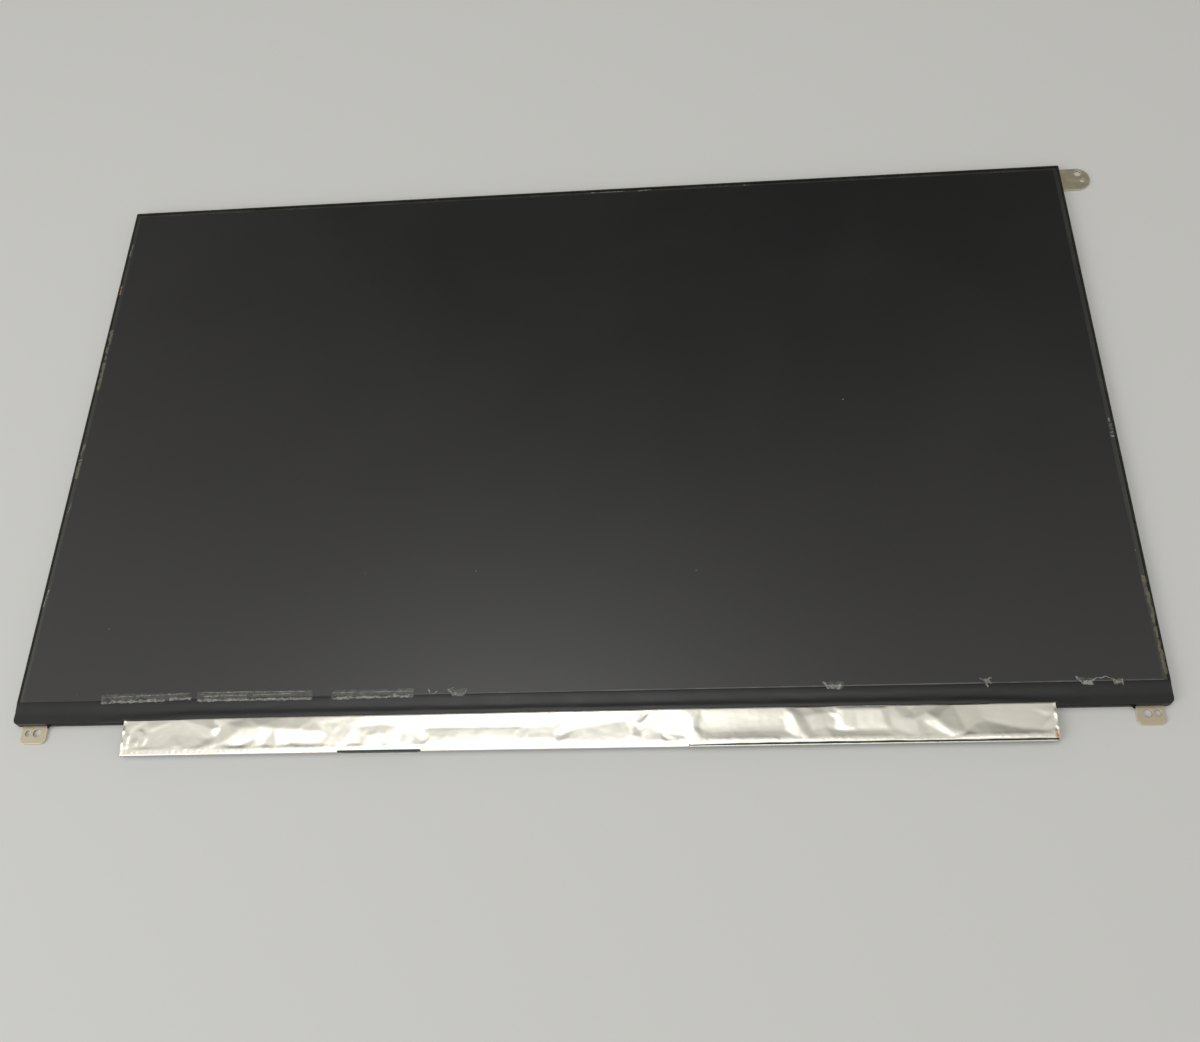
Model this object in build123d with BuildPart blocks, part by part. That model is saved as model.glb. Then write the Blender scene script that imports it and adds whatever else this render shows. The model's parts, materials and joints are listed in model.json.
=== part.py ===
from build123d import *
from math import sin
import os

# Slim laptop display module, lying on its back with the screen up.
# The origin is the centre of the module's outline on the back plate's outer face.
# X runs along the screen's width, Y towards its top edge and Z out of the screen.
# All lengths are in millimetres.

# Module outline, seen from the front
module_width = 300.3
module_height = 178.6
bottom_corner_radius = 1.6
top_corner_radius = 0.4

# Layer thicknesses, from the back to the front
back_plate_thickness = 0.3
reflector_thickness = 0.15
light_guide_thickness = 0.55
diffuser_thickness = 0.12
prism_sheet_thickness = 0.14
sheet_air_gap = 0.12
rear_polarizer_thickness = 0.13
cell_tape_thickness = 0.1
glass_thickness = 0.4
front_polarizer_thickness = 0.2

# Borders round the cell
rim_thickness = 0.55
glass_clearance = 0.15
polarizer_margin = 1.1
bottom_border = 6.2
colour_glass_margin = 0.7
bonding_ledge = 2.2

# Mould frame
shelf_width = 1.5
bottom_shelf_width = 3.75
bottom_wall = 2.9
bay_floor_drop = 0.45
bay_end_clearance = 0.6
led_roof_clearance = 0.08
led_pocket_end = 4.0

# Back plate and the hooks that hold it to the frame
flange_height = 1.3
flange_clearance = 0.05
inner_bend_radius = 0.2
plate_bottom_setback = 0.2
corner_relief = 2.4
hook_length = 6.0
hook_height = 0.4
hook_level = 0.85
hook_depth = 0.25
hook_clearance = 0.15
side_hook_count = 4
side_hook_spacing = 36.0
top_hook_count = 7
top_hook_spacing = 40.0

# Optical sheets and light guide
sheet_clearance = 0.4
polarizer_well_clearance = 0.2
ear_width = 9.0
ear_length = 0.75
ear_spacing = 190.0
ear_clearance = 0.2
guide_setback = 0.2
lug_length = 8.0
lug_depth = 0.7
lug_height_above_bottom = 34.0
lug_clearance = 0.15
cell_tape_margin = 0.2

# LED strip
led_length = 3.8
led_depth = 1.0
led_height = 0.55
led_pitch = 6.8
led_gap = 0.1
led_window_length = 3.0
led_window_height = 0.3
led_window_depth = 0.2
flex_thickness = 0.12
flex_front_overlap = 0.25
flex_reflector_gap = 0.15
flex_pocket_gap = 0.2
flex_end_clearance = 1.5
tail_width = 7.5
tail_centre = -100.0
tail_slot_clearance = 0.25
tail_ramp_start = 1.2
tail_ramp_length = 2.2
tail_pad_length = 2.6

# Control board
board_length = 239.6
board_centre = 1.0
board_width = 8.7
board_thickness = 0.7
board_gap = 0.25
board_corner_radius = 0.4

# Driver films and chips
film_count = 5
film_width = 32.0
film_thickness = 0.07
film_ledge_overlap = 1.5
film_board_overlap = 1.6
film_corner_chamfer = 0.8
driver_chip_length = 17.0
driver_chip_width = 1.1
driver_chip_thickness = 0.3

# Cover tape
tape_thickness = 0.08
tape_polarizer_gap = 0.05
tape_step_length = 0.9
tape_side_inset = 0.1
tape_ripple_height = 0.12
tape_ripple_start = 0.4
tape_ripple_length = 2.8
tape_lip_depth = 0.9
tape_lip_tab_gap = 0.4
tape_bay_setback = 0.9

# Shield foil
foil_thickness = 0.06
foil_end_overhang = 0.5
foil_tape_gap = 0.05
foil_lip_width = 2.0
foil_bend_radius = 0.05
foil_notch_clearance = 0.2
foil_notch_depth = 0.4
foil_wrap_end = 30.0
foil_trim_depth = 0.25
foil_fold_pitch = 5.0
foil_fold_height = 0.24
foil_fold_drift = 0.55
foil_pressed_height = 0.03
foil_fold_row_count = 4
foil_fold_turn_along = 1.9
foil_fold_turn_across = 2.6
foil_pad_length = 22.3
foil_pad_width = 3.4
foil_pad_height = 0.08
foil_pad_gap = 1.4

# Video connector on the back of the board
connector_centre = -49.7
connector_width = 20.2
connector_depth = 3.6
connector_height = 0.95
connector_edge_setback = 0.15
connector_shell_thickness = 0.12
connector_shell_foot = 0.6
connector_end_wall = 0.9
connector_mouth_depth = 2.6
connector_mouth_height = 0.42
contact_count = 30
contact_pitch = 0.5
contact_width = 0.2
contact_thickness = 0.1
contact_clearance = 0.03
contact_tail = 0.8
contact_setback = 0.3

# Parts on the back of the board, each placed along X from the board's centre
component_row = 2.9
timing_chip_size = 6.0
timing_chip_height = 0.8
timing_chip_place = -8.0
power_chip_size = 4.0
power_chip_height = 0.75
power_chip_place = 30.0
led_driver_size = 3.5
led_driver_height = 0.75
led_driver_place = -80.0
memory_chip_length = 3.0
memory_chip_width = 2.2
memory_chip_height = 0.6
memory_chip_place = 6.0
chip_edge_chamfer = 0.08
inductor_size = 3.2
inductor_height = 0.9
inductor_corner_chamfer = 0.5
inductor_places = (38.0, 43.0, -87.0)
capacitor_length = 1.6
capacitor_width = 0.8
capacitor_height = 0.7
capacitor_end_chamfer = 0.1
capacitor_pitch_x = 2.2
capacitor_pitch_y = 1.7
capacitor_column_count = 5
capacitor_row_count = 3
capacitor_places = (19.0, 52.0, -68.0)
resistor_length = 1.0
resistor_width = 0.5
resistor_height = 0.3
resistor_pitch_x = 1.6
resistor_pitch_y = 1.3
resistor_column_count = 6
resistor_row_count = 4
resistor_places = (-20.0, 66.0, 84.0)

# Brackets
bracket_thickness = 0.4
bracket_pocket_clearance = 0.1
foot_width = 2.0
foot_inset = 0.4
foot_inner_length = 9.0
foot_outer_length = 0.9
tab_width = 7.0
tab_side_inset = 2.35
tab_reach = 4.85
tab_corner_radius = 1.4
tab_root_radius = 0.3
screw_hole_radius = 1.05
pin_hole_radius = 0.8
hole_reach = 1.85
screw_hole_offset = 0.7
pin_hole_offset = 1.75
side_foot_width = 1.35
side_foot_inset = 0.55
side_foot_length = 12.0
side_tab_width = 8.6
side_tab_reach = 9.3
side_tab_top_inset = 0.1
side_tab_end_radius = 4.0
side_screw_from_top = 2.0
side_screw_from_tip = 3.4
side_pin_from_top = 4.9
side_pin_from_tip = 2.4

# Levels of the stack, measured up from the back face
light_guide_base = back_plate_thickness + reflector_thickness
diffuser_base = light_guide_base + light_guide_thickness
lower_prism_base = diffuser_base + diffuser_thickness
upper_prism_base = lower_prism_base + prism_sheet_thickness
sheets_top = upper_prism_base + prism_sheet_thickness
rear_polarizer_base = sheets_top + sheet_air_gap
array_base = rear_polarizer_base + rear_polarizer_thickness
shelf_level = array_base - cell_tape_thickness
colour_base = array_base + glass_thickness
glass_face = colour_base + glass_thickness
film_face = colour_base + film_thickness
bay_floor = colour_base - bay_floor_drop
board_back = colour_base - board_thickness
led_top = back_plate_thickness + flex_thickness + led_height

# Edges in X, as half widths
half_width = module_width / 2
rim_side = half_width - rim_thickness
glass_side = rim_side - glass_clearance
polarizer_side = glass_side - polarizer_margin
well_side = rim_side - shelf_width
sheet_side = well_side - sheet_clearance
wall_side = half_width - back_plate_thickness - flange_clearance
led_pocket_side = half_width - led_pocket_end
flex_side = led_pocket_side - flex_end_clearance

# Edges in Y
half_height = module_height / 2
rim_top = half_height - rim_thickness
glass_top = rim_top - glass_clearance
polarizer_top = glass_top - polarizer_margin
well_top = rim_top - shelf_width
sheet_top = well_top - sheet_clearance
wall_top = half_height - back_plate_thickness - flange_clearance
polarizer_bottom = bottom_border - half_height
colour_bottom = polarizer_bottom - colour_glass_margin
array_bottom = colour_bottom - bonding_ledge
pocket_bottom = array_bottom - glass_clearance
well_bottom = pocket_bottom + bottom_shelf_width
sheet_bottom = well_bottom + sheet_clearance
guide_bottom = sheet_bottom + guide_setback
led_front = guide_bottom - led_gap
flex_top = led_front + flex_front_overlap
reflector_bottom = flex_top + flex_reflector_gap
led_pocket_bottom = bottom_wall - half_height
flex_bottom = led_pocket_bottom + flex_pocket_gap
plate_bottom = plate_bottom_setback - half_height
board_top = -half_height - board_gap
board_bottom = board_top - board_width
component_line = board_top - component_row

# Ends of the board, the foil and the bay that the films cross
board_left = board_centre - board_length / 2
board_right = board_centre + board_length / 2
foil_left = board_left - foil_end_overhang
foil_right = board_right + foil_end_overhang
bay_left = foil_left - bay_end_clearance
bay_right = foil_right + bay_end_clearance
tape_bay_end = tape_bay_setback - half_height

# Edges of the foil, of its notch at the connector and of the pad pressed beside it
foil_face = film_face + foil_thickness
foil_top = tape_bay_end - foil_tape_gap
foil_bottom = board_bottom - foil_thickness
notch_half = connector_width / 2 + connector_shell_foot + foil_notch_clearance
notch_left = connector_centre - notch_half
notch_right = connector_centre + notch_half
pad_left = notch_right + foil_pad_gap
pad_right = pad_left + foil_pad_length

# Lower tabs, as distances from the middle of the module
tab_outer = half_width - tab_side_inset
tab_inner = tab_outer - tab_width
tab_middle = (tab_inner + tab_outer) / 2

# Upper right tab
side_tab_top = half_height - side_tab_top_inset
side_tab_bottom = side_tab_top - side_tab_width
side_tab_tip = half_width + side_tab_reach


def rectangle_between(left, right, bottom, top, mode=Mode.ADD):
    """Add a rectangle with these four sides to the open sketch."""
    with Locations(((left + right) / 2, (bottom + top) / 2)):
        Rectangle(right - left, top - bottom, mode=mode)


def sheet_outline():
    """Draw an optical sheet with its two locating ears along the top edge."""
    rectangle_between(-sheet_side, sheet_side, sheet_bottom, sheet_top)
    with Locations((0, sheet_top)):
        with GridLocations(ear_spacing, 0, 2, 1):
            Rectangle(ear_width, 2 * ear_length)


def bottom_bracket_outline(clearance):
    """Draw the lower right bracket's foot and tab, grown by a clearance."""
    foot_bottom = foot_inset - half_height
    foot_left = tab_inner - foot_inner_length - clearance
    foot_right = tab_outer + foot_outer_length + clearance
    foot_top = foot_bottom + foot_width
    rectangle_between(foot_left, foot_right, foot_bottom - clearance, foot_top + clearance)
    tab_tip = -half_height - tab_reach
    rectangle_between(tab_inner - clearance, tab_outer + clearance, tab_tip, foot_top)


def tape_section(ripple, end_line):
    """Draw the cover tape's section: glass margin, step down, one long ripple, then flat."""
    start = polarizer_bottom - tape_polarizer_gap
    step_top = colour_bottom - tape_side_inset
    step_foot = step_top - tape_step_length
    ripple_top = step_foot - tape_ripple_start
    ripple_middle = ripple_top - tape_ripple_length / 2
    ripple_foot = ripple_top - tape_ripple_length
    under = [
        (start, glass_face),
        (step_top, glass_face),
        (step_foot, film_face),
        (ripple_top, film_face),
    ]
    crest = (ripple_middle, film_face + ripple)
    landing = (ripple_foot, film_face)
    end = (end_line, film_face)
    with BuildLine() as section:
        for rise in (0, tape_thickness):
            Polyline([(y, z + rise) for y, z in under])
            raised = [(y, z + rise) for y, z in (under[-1], crest, landing)]
            if ripple:
                Spline(raised, tangents=[(-1, 0), (-1, 0)])
            else:
                Line(raised[0], raised[-1])
            Line(raised[-1], (end[0], end[1] + rise))
        Line((start, glass_face), (start, glass_face + tape_thickness))
        Line(end, (end[0], end[1] + tape_thickness))
    make_face(section.edges())


def foil_crease(station, row, rise):
    """Place one crease point of the foil: the rows wander and rise unevenly along the board."""
    spacing = (foil_top - foil_bottom) / (foil_fold_row_count + 1)
    turn = foil_fold_turn_along * station + foil_fold_turn_across * row
    drift = foil_fold_drift * sin(turn + foil_fold_turn_across)
    return (foil_top - spacing * row + drift, foil_face + rise * sin(turn) ** 2)


def foil_section(station, rise):
    """Draw the foil's section: crumpled over the board, bent round its lower edge, a lip behind it."""
    creases = [foil_crease(station, row, rise) for row in range(1, foil_fold_row_count + 1)]
    outer_bend = foil_bend_radius + foil_thickness
    lip_base = board_back - foil_thickness
    lip_end = foil_bottom + foil_lip_width
    outside = [
        (foil_top, foil_face),
        *creases,
        (foil_bottom + outer_bend, foil_face),
        (foil_bottom, foil_face - outer_bend),
        (foil_bottom, lip_base),
        (lip_end, lip_base),
    ]
    inside = [
        (lip_end, board_back),
        (board_bottom, board_back),
        (board_bottom, film_face - foil_bend_radius),
        (board_bottom + foil_bend_radius, film_face),
        *[(y, z - foil_thickness) for y, z in reversed(creases)],
        (foil_top, film_face),
    ]
    with BuildLine() as section:
        Polyline(*outside, *inside, close=True)
    make_face(section.edges())


os.makedirs("parts", exist_ok=True)

# Back plate: a tray folded up along the sides and the top, open at the lower edge
with BuildPart() as back_plate:
    with BuildSketch():
        rectangle_between(-half_width, half_width, plate_bottom, half_height)
    extrude(amount=flange_height)
    folds = back_plate.edges().group_by(Axis.Z)[0].sort_by(Axis.Y)[1:]
    fillet(folds, radius=back_plate_thickness + inner_bend_radius)
    lid_face = back_plate.faces().sort_by(Axis.Z)[-1]
    lower_face = back_plate.faces().sort_by(Axis.Y)[0]
    offset(amount=-back_plate_thickness, openings=[lid_face, lower_face])
    # Corner reliefs, and the gap that the upper right tab passes through
    with BuildSketch(Plane.XY.offset(back_plate_thickness)):
        relief_bottom = half_height - corner_relief
        rectangle_between(-half_width, corner_relief - half_width, relief_bottom, half_height)
        rectangle_between(half_width - corner_relief, half_width, relief_bottom, half_height)
        gap_bottom = side_tab_bottom - bracket_pocket_clearance
        gap_left = half_width - back_plate_thickness - inner_bend_radius
        rectangle_between(gap_left, half_width, gap_bottom, half_height)
    extrude(amount=flange_height, mode=Mode.SUBTRACT)
    # Windows for the frame's hooks
    window_length = hook_length + 2 * hook_clearance
    window_height = hook_height + 2 * hook_clearance
    with Locations((0, 0, hook_level)):
        with GridLocations(0, side_hook_spacing, 1, side_hook_count):
            Box(module_width, window_length, window_height, mode=Mode.SUBTRACT)
    with Locations((0, half_height, hook_level)):
        with GridLocations(top_hook_spacing, 0, top_hook_count, 1):
            Box(window_length, 2 * back_plate_thickness, window_height, mode=Mode.SUBTRACT)
back_plate.part.label = "back_plate"
export_step(back_plate.part, "parts/back_plate.step")

# Mould frame: a stepped black ring that carries the cell and traps the optical sheets
with BuildPart() as mould_frame:
    with BuildSketch(Plane.XY.offset(back_plate_thickness)) as outline:
        rectangle_between(-half_width, half_width, -half_height, half_height)
        fillet(outline.vertices().group_by(Axis.Y)[0], radius=bottom_corner_radius)
        fillet(outline.vertices().group_by(Axis.Y)[-1], radius=top_corner_radius)
    extrude(amount=glass_face - back_plate_thickness)
    # Well for the light guide and the sheets, with notches for their ears and lugs
    with BuildSketch(Plane.XY.offset(back_plate_thickness)):
        rectangle_between(-well_side, well_side, well_bottom, well_top)
        with Locations((0, sheet_top)):
            with GridLocations(ear_spacing, 0, 2, 1):
                Rectangle(ear_width + 2 * ear_clearance, 2 * (ear_length + ear_clearance))
        with Locations((0, guide_bottom + lug_height_above_bottom)):
            Rectangle(2 * (sheet_side + lug_depth + lug_clearance), lug_length + 2 * lug_clearance)
    extrude(amount=glass_face, mode=Mode.SUBTRACT)
    # Pocket for the glass, bay for the driver films, and the step that the cover tape lies on
    with BuildSketch(Plane.XY.offset(shelf_level)):
        rectangle_between(-rim_side, rim_side, pocket_bottom, rim_top)
    extrude(amount=glass_face, mode=Mode.SUBTRACT)
    with BuildSketch(Plane.XY.offset(bay_floor)):
        rectangle_between(bay_left, bay_right, -half_height, pocket_bottom)
    extrude(amount=glass_face, mode=Mode.SUBTRACT)
    with BuildSketch(Plane.XY.offset(film_face)):
        rectangle_between(-half_width, half_width, -half_height, colour_bottom)
    extrude(amount=glass_face, mode=Mode.SUBTRACT)
    # Pocket for the LED strip under the lower shelf, and the slot for its tail
    with BuildSketch(Plane.XY.offset(back_plate_thickness)):
        rectangle_between(-led_pocket_side, led_pocket_side, led_pocket_bottom, well_bottom)
    extrude(amount=led_top + led_roof_clearance - back_plate_thickness, mode=Mode.SUBTRACT)
    with BuildSketch(Plane.XY.offset(back_plate_thickness)):
        slot_left = tail_centre - tail_width / 2 - tail_slot_clearance
        slot_right = tail_centre + tail_width / 2 + tail_slot_clearance
        rectangle_between(slot_left, slot_right, -half_height, led_pocket_bottom)
    extrude(amount=flex_thickness + tail_slot_clearance, mode=Mode.SUBTRACT)
    # Rebate for the back plate's flanges, and a deeper one at their bends
    flange_rebate = flange_height + flange_clearance - back_plate_thickness
    for inset, height in ((0, flange_rebate), (inner_bend_radius, inner_bend_radius)):
        with BuildSketch(Plane.XY.offset(back_plate_thickness)):
            rectangle_between(-half_width, half_width, -half_height, half_height)
            inner_side = wall_side - inset
            rectangle_between(-inner_side, inner_side, -half_height, wall_top - inset, mode=Mode.SUBTRACT)
        extrude(amount=height, mode=Mode.SUBTRACT)
    # Pockets for the bracket feet
    with BuildSketch(Plane.XY.offset(back_plate_thickness)):
        bottom_bracket_outline(bracket_pocket_clearance)
        mirror(about=Plane.YZ)
        pocket_low = side_tab_bottom - side_foot_length - bracket_pocket_clearance
        rectangle_between(well_side, half_width, pocket_low, half_height)
    extrude(amount=bracket_thickness + bracket_pocket_clearance, mode=Mode.SUBTRACT)
    # Hooks that catch in the back plate's windows
    with Locations((0, 0, hook_level)):
        with GridLocations(2 * wall_side + hook_depth, side_hook_spacing, 2, side_hook_count):
            Box(hook_depth, hook_length, hook_height)
    with Locations((0, wall_top + hook_depth / 2, hook_level)):
        with GridLocations(top_hook_spacing, 0, top_hook_count, 1):
            Box(hook_length, hook_depth, hook_height)
mould_frame.part.label = "mould_frame"
export_step(mould_frame.part, "parts/mould_frame.step")

# Lower right bracket: a flat stamping, its foot under the frame and its tab outside
with BuildPart() as bracket_bottom_right:
    with BuildSketch(Plane.XY.offset(back_plate_thickness)) as stamping:
        bottom_bracket_outline(0)
        fillet(stamping.vertices().group_by(Axis.Y)[0], radius=tab_corner_radius)
        roots = stamping.vertices().filter_by_position(Axis.Y, -half_height, 2 * foot_inset - half_height)
        inner_root = roots.sort_by(Axis.X)[1:3]
        fillet(inner_root, radius=tab_root_radius)
        with Locations((tab_middle - screw_hole_offset, -half_height - hole_reach)):
            Circle(screw_hole_radius, mode=Mode.SUBTRACT)
        with Locations((tab_middle + pin_hole_offset, -half_height - hole_reach)):
            Circle(pin_hole_radius, mode=Mode.SUBTRACT)
    extrude(amount=bracket_thickness)
bracket_bottom_right.part.label = "bracket_bottom_right"
export_step(bracket_bottom_right.part, "parts/bracket_bottom_right.step")

# Lower left bracket, the mirror image of the lower right one
with BuildPart() as bracket_bottom_left:
    mirror(bracket_bottom_right.part, about=Plane.YZ)
bracket_bottom_left.part.label = "bracket_bottom_left"
export_step(bracket_bottom_left.part, "parts/bracket_bottom_left.step")

# Upper right bracket: its foot runs down the side, its tab ends in a full round
with BuildPart() as bracket_top_right:
    with BuildSketch(Plane.XY.offset(back_plate_thickness)) as stamping:
        foot_right = half_width - side_foot_inset
        foot_left = foot_right - side_foot_width
        rectangle_between(foot_left, side_tab_tip, side_tab_bottom, side_tab_top)
        fillet(stamping.vertices().group_by(Axis.X)[-1], radius=side_tab_end_radius)
        rectangle_between(foot_left, foot_right, side_tab_bottom - side_foot_length, side_tab_top)
        with Locations((side_tab_tip - side_screw_from_tip, side_tab_top - side_screw_from_top)):
            Circle(screw_hole_radius, mode=Mode.SUBTRACT)
        with Locations((side_tab_tip - side_pin_from_tip, side_tab_top - side_pin_from_top)):
            Circle(pin_hole_radius, mode=Mode.SUBTRACT)
    extrude(amount=bracket_thickness)
bracket_top_right.part.label = "bracket_top_right"
export_step(bracket_top_right.part, "parts/bracket_top_right.step")

# Reflector sheet under the light guide
with BuildPart() as reflector_sheet:
    with BuildSketch(Plane.XY.offset(back_plate_thickness)):
        rectangle_between(-sheet_side, sheet_side, reflector_bottom, sheet_top)
    extrude(amount=reflector_thickness)
reflector_sheet.part.label = "reflector_sheet"
export_step(reflector_sheet.part, "parts/reflector_sheet.step")

# Light guide, with a lug on each side that keeps it off the LEDs
with BuildPart() as light_guide:
    with BuildSketch(Plane.XY.offset(light_guide_base)):
        rectangle_between(-sheet_side, sheet_side, guide_bottom, sheet_top)
        with Locations((0, guide_bottom + lug_height_above_bottom)):
            Rectangle(2 * (sheet_side + lug_depth), lug_length)
    extrude(amount=light_guide_thickness)
light_guide.part.label = "light_guide"
export_step(light_guide.part, "parts/light_guide.step")

# Diffuser and the two prism sheets, located by their ears
with BuildPart() as diffuser_sheet:
    with BuildSketch(Plane.XY.offset(diffuser_base)):
        sheet_outline()
    extrude(amount=diffuser_thickness)
diffuser_sheet.part.label = "diffuser_sheet"
export_step(diffuser_sheet.part, "parts/diffuser_sheet.step")

with BuildPart() as lower_prism_sheet:
    with BuildSketch(Plane.XY.offset(lower_prism_base)):
        sheet_outline()
    extrude(amount=prism_sheet_thickness)
lower_prism_sheet.part.label = "lower_prism_sheet"
export_step(lower_prism_sheet.part, "parts/lower_prism_sheet.step")

with BuildPart() as upper_prism_sheet:
    with BuildSketch(Plane.XY.offset(upper_prism_base)):
        sheet_outline()
    extrude(amount=prism_sheet_thickness)
upper_prism_sheet.part.label = "upper_prism_sheet"
export_step(upper_prism_sheet.part, "parts/upper_prism_sheet.step")

# LED flex: a strip under the LEDs and a tail that rises to pads on the back of the board
with BuildPart() as led_flex:
    with BuildSketch(Plane.XY.offset(back_plate_thickness)):
        rectangle_between(-flex_side, flex_side, flex_bottom, flex_top)
    extrude(amount=flex_thickness)
    with BuildSketch(Plane.YZ.offset(tail_centre - tail_width / 2)):
        ramp_foot = -half_height - tail_ramp_start
        ramp_head = ramp_foot - tail_ramp_length
        tail_path = [
            (flex_bottom, back_plate_thickness),
            (ramp_foot, back_plate_thickness),
            (ramp_head, board_back - flex_thickness),
            (ramp_head - tail_pad_length, board_back - flex_thickness),
        ]
        with BuildLine():
            Polyline(tail_path)
            Polyline([(y, z + flex_thickness) for y, z in tail_path])
            for y, z in (tail_path[0], tail_path[-1]):
                Line((y, z), (y, z + flex_thickness))
        make_face()
    extrude(amount=tail_width)
led_flex.part.label = "led_flex"
export_step(led_flex.part, "parts/led_flex.step")

# LEDs along the lower edge, each with a window that faces the light guide
with BuildPart() as leds:
    led_count = int((2 * flex_side - led_length) // led_pitch) + 1
    with Locations((0, led_front - led_depth / 2, led_top - led_height / 2)):
        with GridLocations(led_pitch, 0, led_count, 1):
            Box(led_length, led_depth, led_height)
    with Locations((0, led_front - led_window_depth / 2, led_top - led_height / 2)):
        with GridLocations(led_pitch, 0, led_count, 1):
            Box(led_window_length, led_window_depth, led_window_height, mode=Mode.SUBTRACT)
leds.part.label = "leds"
export_step(leds.part, "parts/leds.step")

# Cell tape: a double-sided ring between the frame's shelf and the array glass
with BuildPart() as cell_tape:
    with BuildSketch(Plane.XY.offset(shelf_level)):
        tape_side = glass_side - cell_tape_margin
        tape_bottom = array_bottom + cell_tape_margin
        rectangle_between(-tape_side, tape_side, tape_bottom, glass_top - cell_tape_margin)
        ring_side = well_side + cell_tape_margin
        ring_bottom = well_bottom - cell_tape_margin
        ring_top = well_top + cell_tape_margin
        rectangle_between(-ring_side, ring_side, ring_bottom, ring_top, mode=Mode.SUBTRACT)
    extrude(amount=cell_tape_thickness)
cell_tape.part.label = "cell_tape"
export_step(cell_tape.part, "parts/cell_tape.step")

# Rear polarizer, bonded to the array glass inside the tape
with BuildPart() as rear_polarizer:
    with BuildSketch(Plane.XY.offset(rear_polarizer_base)):
        film_side = well_side - polarizer_well_clearance
        film_low = well_bottom + polarizer_well_clearance
        film_high = well_top - polarizer_well_clearance
        rectangle_between(-film_side, film_side, film_low, film_high)
    extrude(amount=rear_polarizer_thickness)
rear_polarizer.part.label = "rear_polarizer"
export_step(rear_polarizer.part, "parts/rear_polarizer.step")

# Array glass, longer than the colour glass by the ledge that the films are bonded to
with BuildPart() as array_glass:
    with BuildSketch(Plane.XY.offset(array_base)):
        rectangle_between(-glass_side, glass_side, array_bottom, glass_top)
    extrude(amount=glass_thickness)
array_glass.part.label = "array_glass"
export_step(array_glass.part, "parts/array_glass.step")

# Colour filter glass
with BuildPart() as colour_filter_glass:
    with BuildSketch(Plane.XY.offset(colour_base)):
        rectangle_between(-glass_side, glass_side, colour_bottom, glass_top)
    extrude(amount=glass_thickness)
colour_filter_glass.part.label = "colour_filter_glass"
export_step(colour_filter_glass.part, "parts/colour_filter_glass.step")

# Front polarizer, the face of the screen
with BuildPart() as front_polarizer:
    with BuildSketch(Plane.XY.offset(glass_face)):
        rectangle_between(-polarizer_side, polarizer_side, polarizer_bottom, polarizer_top)
    extrude(amount=front_polarizer_thickness)
front_polarizer.part.label = "front_polarizer"
export_step(front_polarizer.part, "parts/front_polarizer.step")

# Driver films, bonded to the glass ledge at one end and to the board at the other
film_pitch = board_length / film_count
film_top = array_bottom + film_ledge_overlap
film_bottom = board_top - film_board_overlap
with BuildPart() as driver_films:
    with BuildSketch(Plane.XY.offset(colour_base)) as film:
        with Locations((board_centre, (film_top + film_bottom) / 2)):
            with GridLocations(film_pitch, 0, film_count, 1):
                Rectangle(film_width, film_top - film_bottom)
        chamfer(film.vertices(), length=film_corner_chamfer)
    extrude(amount=film_thickness)
driver_films.part.label = "driver_films"
export_step(driver_films.part, "parts/driver_films.step")

# Driver chips, on the underside of the films and over the bay in the frame
with BuildPart() as driver_chips:
    chip_line = (pocket_bottom - half_height) / 2
    with Locations((board_centre, chip_line, colour_base - driver_chip_thickness / 2)):
        with GridLocations(film_pitch, 0, film_count, 1):
            Box(driver_chip_length, driver_chip_width, driver_chip_thickness)
driver_chips.part.label = "driver_chips"
export_step(driver_chips.part, "parts/driver_chips.step")

# Control board
with BuildPart() as control_board:
    with BuildSketch(Plane.XY.offset(board_back)) as outline:
        rectangle_between(board_left, board_right, board_bottom, board_top)
        fillet(outline.vertices(), radius=board_corner_radius)
    extrude(amount=board_thickness)
control_board.part.label = "control_board"
export_step(control_board.part, "parts/control_board.step")

# Cover tape over the glass margin, the films and the frame's ends, turned down at its two ends
with BuildPart() as cover_tape:
    tape_edge = half_width - tape_side_inset
    with BuildSketch(Plane.YZ.offset(bay_left)):
        tape_section(tape_ripple_height, tape_bay_end)
    extrude(amount=bay_right - bay_left)
    with BuildSketch(Plane.YZ.offset(-tape_edge)):
        tape_section(0, -half_height)
    extrude(amount=bay_left + tape_edge)
    with BuildSketch(Plane.YZ.offset(bay_right)):
        tape_section(0, -half_height)
    extrude(amount=tape_edge - bay_right)
    # Lips turned down over the frame's lower edge, from each tab to the bay
    with BuildSketch(Plane.XY.offset(film_face + tape_thickness)):
        lip_top = -half_height
        lip_bottom = lip_top - tape_thickness
        lip_outer = tab_inner - tape_lip_tab_gap
        rectangle_between(-lip_outer, bay_left, lip_bottom, lip_top)
        rectangle_between(bay_right, lip_outer, lip_bottom, lip_top)
    extrude(amount=-tape_lip_depth)
    # Rounded outer corners
    with BuildSketch(Plane.XY) as trimmed:
        rectangle_between(-tape_edge, tape_edge, lip_bottom, polarizer_bottom)
        fillet(trimmed.vertices().group_by(Axis.Y)[0], radius=bottom_corner_radius)
    extrude(amount=glass_face + tape_thickness, mode=Mode.INTERSECT)
cover_tape.part.label = "cover_tape"
export_step(cover_tape.part, "parts/cover_tape.step")

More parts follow.
